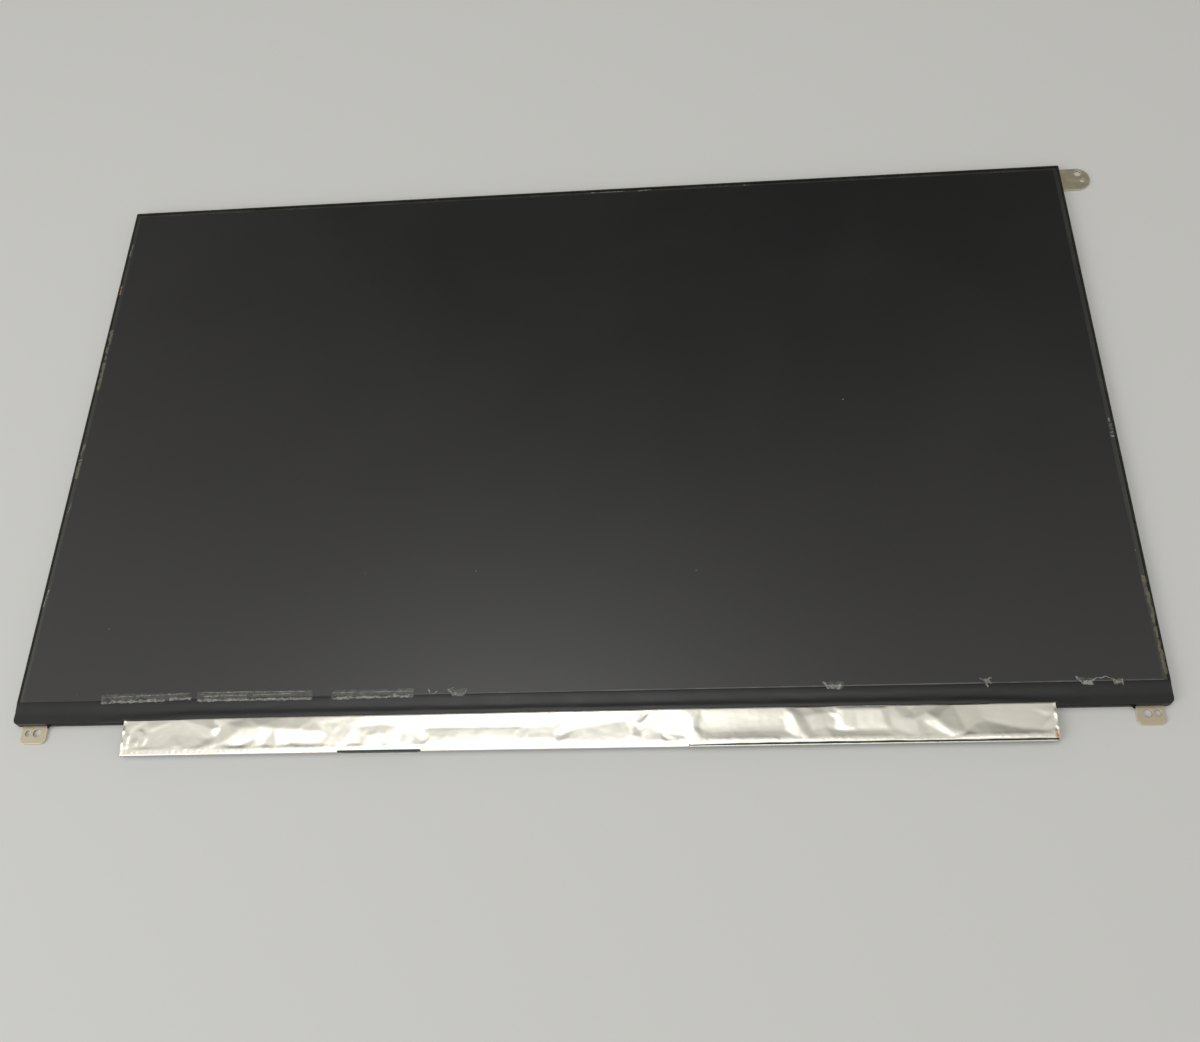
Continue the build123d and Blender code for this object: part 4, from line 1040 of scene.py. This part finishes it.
def make_tape():
    """The tape over the lower border: short at the foil, folded over the frame between tabs and bay."""
    straight_end = TAPE_HIGH.x - CORNER_RADIUS
    side_marks = [-TAB_SIDES[1], -TAB_SIDES[0], *BAY, *TAB_SIDES]
    corner = straight_end + CORNER_RADIUS * np.sin(CORNER_TURNS)
    across = np.concatenate([-corner[::-1], spaced(side_marks, TAPE_STEP), corner])
    down = spaced([TAPE_HIGH.y, TAPE_FLAT_END, BAY_END, PANEL_LOW.y], TAPE_ROW_STEP)
    xs, ys = np.meshgrid(across, down)
    zs = tape_level(ys) + tape_ripples(xs, ys)
    over_foil = smooth_step((xs - BAY[0]) / BAY_BLEND) * smooth_step((BAY[1] - xs) / BAY_BLEND)
    ragged = edge_stray(xs) + relief(xs, np.zeros_like(ys), *TAPE_FRAY)
    ys = ys + over_foil * ragged * smooth_step((BAY_END + BAY_EDGE_REACH - ys) / BAY_EDGE_REACH)
    past_straight = np.clip(np.abs(xs) - straight_end, 0, CORNER_RADIUS)
    round_drop = np.sqrt(np.maximum(CORNER_RADIUS ** 2 - past_straight ** 2, 0))
    limit = PANEL_LOW.y + CORNER_RADIUS - round_drop
    hold = PANEL_LOW.y + 2 * CORNER_RADIUS
    rounded = hold + (ys - hold) * (limit - hold) / (PANEL_LOW.y - hold)
    ys = np.where(ys < hold, rounded, ys)
    lip = TAPE_LOW.y - PANEL_LOW.y
    for share, level in TAPE_LIP:
        xs = np.vstack([xs, xs[-1:]])
        ys = np.vstack([ys, np.full_like(ys[:1], PANEL_LOW.y + share * lip)])
        zs = np.vstack([zs, np.full_like(zs[:1], level)])
    middle = np.abs(xs[:-1, :-1] + xs[:-1, 1:] - sum(BAY)) / 2
    row = np.arange(len(xs) - 1)[:, None]
    in_bay = middle < (BAY[1] - BAY[0]) / 2
    no_lip = np.abs(xs[:-1, :-1] + xs[:-1, 1:]) / 2 > TAB_SIDES[0]
    gone = (in_bay & (row >= np.argmin(np.abs(down - BAY_END)))) | (no_lip & (row >= len(down) - 1))
    points, faces = drop_loose(np.stack([xs, ys, zs], -1).reshape(-1, 3), grid_faces(~gone))
    ear = np.array((
        (TAB_SIDES[0] - EAR_WIDTH, TAPE_LOW.y, EAR_LEVEL),
        (TAB_SIDES[0] - EAR_GAP, TAPE_LOW.y, EAR_LEVEL),
        (TAB_SIDES[0] - EAR_TIP_GAP, TAPE_LOW.y - EAR_DEPTH, EAR_TIP_LEVEL),
    ))
    for side, turn in ((-1, (0, 1, 2)), (1, (0, 2, 1))):
        faces.append(tuple(len(points) + k for k in turn))
        points = np.vstack([points, ear * (side, 1, 1)])
    tape = add_piece("rippled_tape", points, faces, FINISH["black_tape"], "black_tape", ("cover_tape",))
    # The lip below the frame's edge gets the finish with painted shade
    tape.data.materials.append(TAPE_LIP_SHADE)
    for patch in tape.data.polygons:
        patch.material_index = int(patch.center.y < TAPE_LIP_SHADE_LINE * MM)
    thicken(tape, TAPE_THICKNESS)


# Glue residue and dust

# Threads: step, height, and for each waver its share of the width, the size of its swells and its seed
THREAD_STEP = 0.15
THREAD_LIFT = 0.018
THREAD_WAVERS = ((0.22, 0.9, 2.0), (0.2, 3.0, 4.0))
# How full a thread is: its mean, its swing as a noise, and its least and most
THREAD_FULLNESS = 0.7
THREAD_SWING = (0.6, 1.3, 6.0)
THREAD_LIMITS = (0.2, 1.1)
THREAD_TIP = 0.08
THREAD_SHARES = np.array((-1.0, -0.5, 0.0, 0.5, 1.0))
# Films: step, heights, sizes of their tears, and how much and how far in their sides hold together
FILM_STEP = 0.2
FILM_LIFT = 0.004
AGED_LIFT = 2 * FILM_LIFT
FLAKE_LIFT = 3 * FILM_LIFT
TEAR_SIZE = 1.1
NICK_SIZE = 0.45
NICK_SHARE = 0.5
NICK_SEED = 5.0
FILM_HOLD = 0.9
FILM_RIM = 0.5
FILM_KEPT = -0.3
# Step of the seeds from one thread, film or aged film to the next, and the flake's own seed
THREAD_SEED = 3.1
FILM_SEED = 2.3
AGED_SEED = 1.7
FLAKE_SEED = 8.0
# Each thread of glue: its width, and the corners of the line that it follows
GLUE_THREADS = (
    (1.1, (-126.7, -83.8), (-109.0, -83.3)), (0.8, (-107.9, -83.1), (-101.8, -83.0)),
    (1.0, (-100.1, -83.6), (-68.9, -83.7)), (1.1, (-63.3, -83.8), (-41.7, -83.4)),
    (0.25, (-126.0, -82.3), (-103.0, -81.6)), (0.3, (-98.9, -81.4), (-70.9, -81.6)),
    (0.3, (-98.7, -82.5), (-74.8, -82.2)), (0.3, (-63.5, -82.2), (-42.0, -82.2)),
    (0.3, (-38.0, -81.6), (-37.3, -82.8), (-36.7, -83.2), (-35.5, -82.4)),
    (0.4, (-32.8, -81.9), (-31.8, -82.7), (-31.2, -83.7)), (0.35, (-32.8, -82.0), (-31.2, -81.5)),
    (0.9, (-31.2, -83.1), (-29.5, -83.3), (-28.0, -83.1)), (0.5, (-28.1, -83.0), (-27.7, -81.8)),
    (0.6, (64.3, -81.7), (65.0, -82.7), (65.7, -83.9)),
    (1.7, (65.2, -82.9), (67.0, -83.2), (69.2, -83.5)),
    (1.2, (104.5, -82.2), (105.6, -82.8), (106.5, -83.1)), (0.9, (105.1, -83.0), (105.5, -84.5)),
    (0.4, (103.4, -81.7), (104.8, -82.5)), (0.4, (105.2, -82.4), (106.0, -81.7), (106.6, -81.8)),
    (0.6, (127.1, -81.8), (128.2, -83.2), (128.9, -84.0)),
    (1.3, (128.7, -83.5), (130.0, -83.4), (131.3, -83.9)),
    (0.35, (130.8, -83.0), (132.3, -82.3), (133.8, -82.3), (134.3, -81.9), (136.2, -82.7), (136.4, -84.0)),
    (1.0, (136.6, -83.6), (138.3, -83.4)), (0.5, (138.4, -82.5), (138.4, -84.4)),
    (0.6, (148.2, -11.0), (149.4, -11.4)),
    (0.3, (148.1, -10.3), (149.3, -9.8)), (1.0, (148.7, -5.2), (149.0, -6.6)),
    (0.4, (-149.6, -7.2), (-148.5, -6.9)), (0.4, (-148.5, -21.7), (-148.9, -25.1)),
    (0.4, (-148.9, -49.5), (-149.4, -55.1)), (0.35, (-149.2, 71.0), (-148.9, 76.0)),
    (0.25, (2.3, 88.1), (12.7, 88.0)), (0.4, (17.4, 87.9), (21.8, 88.1)),
    (0.25, (51.4, 88.0), (52.4, 88.0)),
)
# Each film of glue: its four corners in turn
GLUE_FILMS = (
    ((-127.0, -81.3), (-101.8, -81.2), (-101.8, -83.6), (-127.0, -84.1)),
    ((-100.3, -81.1), (-68.7, -81.3), (-68.7, -84.1), (-100.3, -84.0)),
    ((-64.0, -81.4), (-41.6, -81.4), (-41.6, -84.1), (-64.0, -84.2)),
    ((-32.9, -81.8), (-27.6, -81.6), (-27.8, -84.4), (-31.2, -84.2)),
    ((64.4, -81.6), (69.6, -81.8), (69.4, -84.6), (65.4, -84.3)),
    ((127.1, -81.7), (131.4, -82.4), (131.6, -84.3), (128.7, -84.2)),
    ((148.6, -7.2), (149.6, -7.2), (149.8, -10.6), (148.4, -10.6)),
)
AGED_FILMS = (
    ((136.2, -82.7), (138.6, -82.5), (138.7, -84.5), (136.6, -84.2)),
    ((148.2, -53.5), (149.6, -54.1), (149.6, -60.0), (148.2, -60.1)),
    ((148.6, -60.0), (149.7, -60.0), (149.8, -82.0), (148.9, -81.8)),
    ((-149.6, 41.0), (-148.2, 41.1), (-148.4, 34.6), (-149.6, 34.6)),
    ((-149.6, 34.6), (-148.5, 34.5), (-148.1, 17.6), (-149.4, 18.0)),
    ((-149.6, -1.4), (-148.2, -1.4), (-148.6, -5.9), (-149.6, -5.8)),
    ((-149.6, -7.5), (-148.3, -7.5), (-148.4, -13.6), (-149.6, -13.6)),
)
COPPER_FLAKE = ((-149.7, 59.0), (-149.1, 58.6), (-149.0, 55.2), (-149.6, 55.0))
# Middle of each speck of dust and its width
DUST_SPECKS = (
    (-128.7, -62.3, 0.6), (-58.4, -47.3, 0.5), (-27.3, -47.6, 0.45), (32.9, -49.2, 0.5), (76.3, 4.2, 0.5),
    (-133.8, -81.3, 0.45), (148.3, -46.8, 0.4),
)


def panel_level(xs, ys):
    """Height of the panel's face: the film, the tape below it, and the glass rim beside it."""
    beside = (xs < SCREEN_LOW.x) | (xs > SCREEN_HIGH.x) | (ys > SCREEN_HIGH.y)
    level = np.where(beside, GLASS_HIGH.z, SHEET_TOP)
    return np.where(ys < SCREEN_LOW.y, tape_level(ys), level)


def on_panel(xs, ys, lift):
    """Points a little over the panel's face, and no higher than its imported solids."""
    zs = np.minimum(panel_level(xs, ys) + lift, SCREEN_HIGH.z)
    return np.stack([xs, ys, zs], -1).reshape(-1, 3)


def thread(width, corners, seed):
    """A thread of glue along a line: it wavers, swells and thins out, and stands highest in its middle."""
    corners = np.array(corners)
    lengths = np.append(0, np.cumsum(np.linalg.norm(np.diff(corners, axis=0), axis=1)))
    along = spaced([0, lengths[-1]], THREAD_STEP)
    line = np.stack([np.interp(along, lengths, corners[:, axis]) for axis in (0, 1)], 1)
    ahead = np.gradient(line, axis=0)
    side = np.stack([-ahead[:, 1], ahead[:, 0]], 1) / np.linalg.norm(ahead, axis=1)[:, None]
    flat = np.full_like(along, seed)
    waver = sum(relief(along, flat, share * width, *swells) for share, *swells in THREAD_WAVERS)
    fullness = np.clip(THREAD_FULLNESS + relief(along, flat, *THREAD_SWING), *THREAD_LIMITS)
    ends = smooth_step((THREAD_TIP + np.minimum(along, lengths[-1] - along)) / (0.5 * width))
    half = 0.5 * width * fullness * ends
    offset = waver[:, None] + half[:, None] * THREAD_SHARES
    places = line[:, None, :] + offset[:, :, None] * side[:, None, :]
    lift = THREAD_LIFT * (1 - THREAD_SHARES ** 2) * ends[:, None]
    return on_panel(places[..., 0], places[..., 1], lift), whole_grid(len(along), len(THREAD_SHARES))


def film(corners, seed, lift):
    """A thin film of glue between four corners, with ragged sides and torn spots."""
    a, b, c, d = (np.array(corner) for corner in corners)
    width, height = np.linalg.norm(b - a), np.linalg.norm(d - a)
    us, vs = np.meshgrid(spaced([0, 1], FILM_STEP / width), spaced([0, 1], FILM_STEP / height))
    u, v = us[..., None], vs[..., None]
    places = (a * (1 - u) + b * u) * (1 - v) + (d * (1 - u) + c * u) * v
    xs, ys = places[..., 0], places[..., 1]
    torn = wander(xs, ys, TEAR_SIZE, seed) + relief(xs, ys, NICK_SHARE, NICK_SIZE, seed + NICK_SEED)
    from_side = np.minimum(np.minimum(us, 1 - us) * width, np.minimum(vs, 1 - vs) * height)
    torn = torn - FILM_HOLD * np.clip(from_side / FILM_RIM, 0, 1)
    faces = grid_faces((torn[:-1, :-1] + torn[1:, 1:]) / 2 < FILM_KEPT)
    return on_panel(xs, ys, lift), [face[::-1] for face in faces] if b[0] < a[0] else faces


def joined(meshes):
    """Several lists of points and faces as one."""
    points, faces = [], []
    for more_points, more_faces in meshes:
        if more_faces:
            faces += [tuple(i + len(points) for i in face) for face in more_faces]
            points += [tuple(p) for p in more_points]
    return drop_loose(points, faces)


def make_residue():
    """Threads and films of old glue round the screen's edges, specks of dust, and one copper flake."""
    threads = [thread(width, corners, THREAD_SEED * k) for k, (width, *corners) in enumerate(GLUE_THREADS)]
    threads += [thread(width, ((x - width / 2, y), (x + width / 2, y)), x) for x, y, width in DUST_SPECKS]
    add_piece("glue_threads", *joined(threads), GLUE, "clear_film")
    films = [film(corners, FILM_SEED * k, FILM_LIFT) for k, corners in enumerate(GLUE_FILMS)]
    add_piece("glue_films", *joined(films), FILM, "clear_film")
    aged = [film(corners, AGED_SEED * k, AGED_LIFT) for k, corners in enumerate(AGED_FILMS)]
    add_piece("aged_glue", *joined(aged), AGED_GLUE, "clear_film")
    flake = film(COPPER_FLAKE, FLAKE_SEED, FLAKE_LIFT)
    add_piece("copper_flake", *joined([flake]), COPPER, "contact_gold")


# Tinned ends of the small parts behind the board

END_SHARE = 0.24
END_SKIN = 0.012


def bodies(name):
    """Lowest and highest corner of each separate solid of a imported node, in millimetres."""
    mesh = welded(name)
    waiting = set(mesh.verts)
    boxes = []
    while waiting:
        island = [waiting.pop()]
        for vert in island:
            near = {edge.other_vert(vert) for edge in vert.link_edges} & waiting
            waiting -= near
            island += near
        spots = np.array([vert.co for vert in island]) / MM
        boxes.append((spots.min(0), spots.max(0)))
    mesh.free()
    return sorted(boxes, key=lambda box: tuple(box[0]))


def block(low, high):
    """Points and faces of a box."""
    points = rectangle(low, high, low[2]) + rectangle(low, high, high[2])
    faces = [(3, 2, 1, 0), (4, 5, 6, 7)] + [(k, (k + 1) % 4, (k + 1) % 4 + 4, k + 4) for k in range(4)]
    return points, faces


def make_tinned_ends():
    """A thin tin cap over both ends of each capacitor and resistor."""
    caps = []
    for low, high in bodies("capacitors") + bodies("resistors"):
        reach = END_SHARE * (high[0] - low[0])
        outer_low = low - END_SKIN
        outer_high = high + END_SKIN * np.array((1, 1, 0))
        caps.append(block(outer_low, (low[0] + reach, *outer_high[1:])))
        caps.append(block((high[0] - reach, *outer_low[1:]), outer_high))
    add_piece("tinned_ends", *joined(caps), TIN, "shell_steel", smooth=False)


# Stamped brackets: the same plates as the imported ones, with the rolled-over edge that a punch leaves

PLATE_ROUNDING = 0.1
PLATE_TURNS = np.radians((0, 30, 60, 90))
ARC_STEP = 7.5
LEAST_ARC_POINTS = 4
PLATE_WELD = 1e-5
FOOT_WIDTH = 2.0
TAB_CORNER = 1.4
TAB_ROOT = 0.3
TAB_HOLES = ((143.6, -91.15, 1.05), (146.05, -91.15, 0.8))
SIDE_FOOT_WIDTH = 1.35
SIDE_FOOT_LENGTH = 12.0
SIDE_TAB_END = 4.0
SIDE_HOLES = ((156.05, 87.2, 1.05), (157.05, 84.3, 0.8))


def arc(x, y, radius, start, end):
    """Points on an arc, from one angle in degrees to another."""
    count = max(LEAST_ARC_POINTS, round(abs(end - start) / ARC_STEP) + 1)
    turns = np.radians(np.linspace(start, end, count))
    return [(x + radius * math.cos(t), y + radius * math.sin(t)) for t in turns]


def lower_outline(low, high):
    """The lower right bracket, anticlockwise: a foot along the frame, and a tab with two round corners."""
    inner, outer = TAB_SIDES
    foot = high.y - FOOT_WIDTH
    tip = low.y + TAB_CORNER
    return [
        (low.x, foot),
        *arc(inner - TAB_ROOT, foot - TAB_ROOT, TAB_ROOT, 90, 0),
        *arc(inner + TAB_CORNER, tip, TAB_CORNER, 180, 270),
        *arc(outer - TAB_CORNER, tip, TAB_CORNER, 270, 360),
        *arc(outer + TAB_ROOT, foot - TAB_ROOT, TAB_ROOT, 180, 90),
        (high.x, foot), (high.x, high.y), (low.x, high.y),
    ]


def side_outline(low, high):
    """The upper right bracket, anticlockwise: a foot down the side, and a tab that ends in a round."""
    foot = low.x + SIDE_FOOT_WIDTH
    under = low.y + SIDE_FOOT_LENGTH
    end = high.x - SIDE_TAB_END
    return [
        (low.x, low.y), (foot, low.y), (foot, under),
        *arc(end, under + SIDE_TAB_END, SIDE_TAB_END, 270, 360),
        *arc(end, high.y - SIDE_TAB_END, SIDE_TAB_END, 0, 90),
        (low.x, high.y),
    ]


def inset(loop, distance):
    """A closed loop moved to its left-hand side, into the plate."""
    loop = np.array(loop)
    along = np.roll(loop, -1, 0) - loop
    along /= np.linalg.norm(along, axis=1)[:, None]
    side = np.stack([-along[:, 1], along[:, 0]], 1)
    before = np.roll(side, 1, 0)
    return loop + distance * (side + before) / (1 + np.sum(side * before, 1))[:, None]


def enclosed(loop, x, y):
    """Whether a point lies inside a closed loop."""
    inside = False
    for (ax, ay), (bx, by) in zip(loop, np.roll(loop, -1, 0)):
        if (ay > y) != (by > y) and x < ax + (y - ay) * (bx - ax) / (by - ay):
            inside = not inside
    return inside


def flat_faces(loops):
    """Triangles between an outer loop and its holes, as numbers into the loops' points in a row."""
    spots = [Vector(p) for loop in loops for p in loop]
    edges = []
    for loop in loops:
        first = len(edges)
        edges += [(first + k, first + (k + 1) % len(loop)) for k in range(len(loop))]
    places, _, faces, origins, _, _ = geometry.delaunay_2d_cdt(spots, edges, [], 0, PLATE_WELD)
    kept = []
    for face in faces:
        x, y = sum((places[i] for i in face), Vector((0.0, 0.0))) / 3
        if enclosed(loops[0], x, y) and not any(enclosed(loop, x, y) for loop in loops[1:]):
            kept.append(tuple(origins[i][0] for i in face))
    return kept


def make_plate(name, node, outline, holes):
    """A bracket with its upper edges rolled over, and the walls of its punched holes darker, partly as rough
    punched steel and partly as painted shade.
    """
    low, high = node_box(node)
    loops = [np.array(outline)] + [np.array(arc(x, y, r, 360, 0)[:-1]) for x, y, r in holes]
    rings = []
    for turn in PLATE_TURNS:
        inward, fall = PLATE_ROUNDING * (1 - math.sin(turn)), PLATE_ROUNDING * (1 - math.cos(turn))
        rings.append((inward, high.z - fall))
    rings.append((0.0, low.z))
    points = []
    for distance, level in rings:
        for loop in loops:
            points += [(x, y, level) for x, y in inset(loop, distance)]
    total = sum(len(loop) for loop in loops)
    top = flat_faces([inset(loop, PLATE_ROUNDING) for loop in loops])
    under = (len(rings) - 1) * total
    faces = top + [tuple(under + i for i in reversed(face)) for face in top]
    level_faces = len(faces)
    wall = set()
    for ring in range(len(rings) - 1):
        first = ring * total
        for number, loop in enumerate(loops):
            for k in range(len(loop)):
                here, there = first + k, first + (k + 1) % len(loop)
                if number and ring == len(rings) - 2:
                    wall.add(len(faces))
                faces.append((here, here + total, there + total, there))
            first += len(loop)
    plate = add_piece(name, points, faces, FINISH["bracket_steel"], "bracket_steel", (node,))
    # The hole walls take the darker finish, partly painted shade
    plate.data.materials.append(PUNCHED_AND_SHADED)
    for number, patch in enumerate(plate.data.polygons):
        patch.use_smooth = number >= level_faces
        patch.material_index = int(number in wall)


def make_brackets():
    """The two lower brackets, one the mirror image of the other, and the upper right one."""
    outline = lower_outline(*node_box("bracket_bottom_right"))
    make_plate("tab_lower_right", "bracket_bottom_right", outline, TAB_HOLES)
    mirrored = [(-x, y) for x, y in reversed(outline)]
    make_plate("tab_lower_left", "bracket_bottom_left", mirrored, [(-x, y, r) for x, y, r in TAB_HOLES])
    side = side_outline(*node_box("bracket_top_right"))
    make_plate("tab_upper_right", "bracket_top_right", side, SIDE_HOLES)


# Back tray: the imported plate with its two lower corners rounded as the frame's are

TRAY_TURNS = np.radians((9, 27, 45, 63, 81))
TRAY_SHARP_ANGLE = math.radians(25)


def make_tray():
    """The tray, cut along the frame's round at both lower corners."""
    low, high = node_box("back_plate")
    mesh = welded("back_plate")
    for side in (-1, 1):
        middle = Vector((side * (high.x - CORNER_RADIUS), low.y + CORNER_RADIUS, 0.0))
        for turn in TRAY_TURNS:
            away = Vector((side * math.sin(turn), -math.cos(turn), 0.0))
            parts = mesh.verts[:] + mesh.edges[:] + mesh.faces[:]
            place = (middle + CORNER_RADIUS * away) * MM
            cut = bmesh.ops.bisect_plane(mesh, geom=parts, plane_co=place, plane_no=away, clear_outer=True)
            rim = [part for part in cut["geom_cut"] if isinstance(part, bmesh.types.BMEdge)]
            bmesh.ops.holes_fill(mesh, edges=rim)
    points = [vert.co / MM for vert in mesh.verts]
    faces = [[vert.index for vert in face.verts] for face in mesh.faces]
    mesh.free()
    tray = add_piece("back_tray", points, faces, FINISH["plate_metal"], "plate_metal", ("back_plate",))
    tray.data.set_sharp_from_angle(angle=TRAY_SHARP_ANGLE)


# Stage

# Half the table's width in metres, and how far it lies below the panel
FLOOR_HALF = 3.0
FLOOR_DROP = 0.02
# Rays no longer than this pass through the table, so that the panel's underside is lit
FLOOR_REACH = 3.0
# Each lamp: its name, its place, its size, how bright its face looks, and the point that it faces
LAMPS = (
    ("overhead_lamp", (-0.05, -0.115, 1.0), (0.85, 0.53), 1.1, (-0.02, -0.08, 0.0)),
    ("centre_lamp", (-0.15, 0.19, 1.0), (0.38, 0.09), 0.8, (-0.02, -0.08, 0.0)),
    ("front_fill", (-0.62, -0.55, 0.55), (0.5, 0.5), 3.3, (0.0, 0.0, 0.0)),
)
ROOM_TONE = (0.76, 0.75, 0.71)
DARK_TONE = (0.015, 0.015, 0.015)
BLACK = (0.0, 0.0, 0.0)
# The room darkens between these parts of a view direction: beyond the panel, high up and to the right
BEYOND_SPAN = (0.3, 0.65)
HIGH_SPAN = (0.35, 0.6)
RIGHT_SPAN = (-0.25, 0.45)
RIGHT_SHADE = 0.22
RIGHT_BEYOND_SPAN = (-0.1, 0.3)
RIGHT_BEYOND_SHADE = 0.25
# Azimuth, elevation and roll of the viewpoint in degrees, its place, and its lens on this sensor
CAMERA_TURNS = (9.66975, 61.09576, -10.26422)
CAMERA_PLACE = (34.871, -198.751, 306.830)
CAMERA_LENS = 37.545
CAMERA_SENSOR = 36.0
CAMERA_NEAREST = 0.01


def make_floor():
    """A pale matt table top, see-through from below and to the light that leaves what lies on it."""
    mesh = bpy.data.meshes.new("table_top")
    corners = rectangle((-FLOOR_HALF, -FLOOR_HALF), (FLOOR_HALF, FLOOR_HALF), -FLOOR_DROP * MM)
    mesh.from_pydata(corners, [], [(0, 1, 2, 3)])
    floor = bpy.data.objects.new("table_top", mesh)
    bpy.context.scene.collection.objects.link(floor)
    material, tree, shader = new_finish("table_paint", (0.628, 0.63, 0.62), 0.9)
    shader.inputs["Specular IOR Level"].default_value = 0.1
    length = tree.nodes.new("ShaderNodeLightPath").outputs["Ray Length"]
    close = reckoned(tree, "LESS_THAN", length, FLOOR_REACH * MM)
    from_below = tree.nodes.new("ShaderNodeNewGeometry").outputs["Backfacing"]
    blend = tree.nodes.new("ShaderNodeMixShader")
    connect(tree, reckoned(tree, "MAXIMUM", from_below, close), blend.inputs["Fac"])
    connect(tree, shader.outputs["BSDF"], blend.inputs[1])
    connect(tree, tree.nodes.new("ShaderNodeBsdfTransparent").outputs["BSDF"], blend.inputs[2])
    connect(tree, blend.outputs["Shader"], tree.nodes["Material Output"].inputs["Surface"])
    mesh.materials.append(material)


def softbox(name, place, size, radiance, target):
    """A flat soft lamp that faces a point; radiance is how bright its face looks."""
    lamp = bpy.data.lights.new(name, "AREA")
    lamp.shape = "RECTANGLE"
    lamp.size, lamp.size_y = size
    lamp.energy = radiance * math.pi * size[0] * size[1]
    carrier = bpy.data.objects.new(name, lamp)
    carrier.location = place
    carrier.rotation_euler = (Vector(target) - Vector(place)).to_track_quat("-Z", "Y").to_euler()
    bpy.context.scene.collection.objects.link(carrier)


def make_lights():
    """A pale room that is darker high up beyond the panel and to the right, and three soft lamps."""
    world = bpy.data.worlds.new("room")
    bpy.context.scene.world = world
    world.use_nodes = True
    tree = world.node_tree
    towards = tree.nodes.new("ShaderNodeSeparateXYZ")
    direction = tree.nodes.new("ShaderNodeTexCoord").outputs["Generated"]
    connect(tree, direction, towards.inputs["Vector"])
    beyond = spread(tree, towards.outputs["Y"], *BEYOND_SPAN)
    high = spread(tree, towards.outputs["Z"], *HIGH_SPAN)
    room = mixed(tree, times(tree, beyond, high), ROOM_TONE, DARK_TONE)
    to_the_right = spread(tree, towards.outputs["X"], *RIGHT_SPAN, 0.0, RIGHT_SHADE)
    room = mixed(tree, to_the_right, room, BLACK)
    right_half = spread(tree, towards.outputs["X"], *RIGHT_BEYOND_SPAN, 0.0, RIGHT_BEYOND_SHADE)
    room = mixed(tree, times(tree, right_half, beyond), room, BLACK)
    connect(tree, room, tree.nodes["Background"].inputs["Color"])
    for lamp in LAMPS:
        softbox(*lamp)


def make_camera():
    """The photograph's viewpoint: its angles and eye follow from the panel's four corners."""
    azimuth, elevation, roll = (math.radians(turn) for turn in CAMERA_TURNS)
    reach = math.cos(elevation)
    back = Vector((math.sin(azimuth) * reach, -math.cos(azimuth) * reach, math.sin(elevation)))
    level = Vector((math.cos(azimuth), math.sin(azimuth), 0.0))
    rise = back.cross(level)
    right = level * math.cos(roll) + rise * math.sin(roll)
    top = rise * math.cos(roll) - level * math.sin(roll)
    data = bpy.data.cameras.new("photo_camera")
    data.sensor_fit = "HORIZONTAL"
    data.sensor_width = CAMERA_SENSOR
    data.lens = CAMERA_LENS
    data.clip_start = CAMERA_NEAREST
    camera = bpy.data.objects.new("photo_camera", data)
    pose = Matrix((right, top, back)).transposed().to_4x4()
    pose.translation = Vector(CAMERA_PLACE) * MM
    camera.matrix_world = pose
    bpy.context.scene.collection.objects.link(camera)
    bpy.context.scene.camera = camera


dress_packed_nodes()
make_tray()
make_brackets()
make_screen()
make_tape()
make_foil()
make_wrap()
make_residue()
make_tinned_ends()
make_floor()
make_lights()
make_camera()
bpy.context.scene.view_settings.view_transform = "Standard"
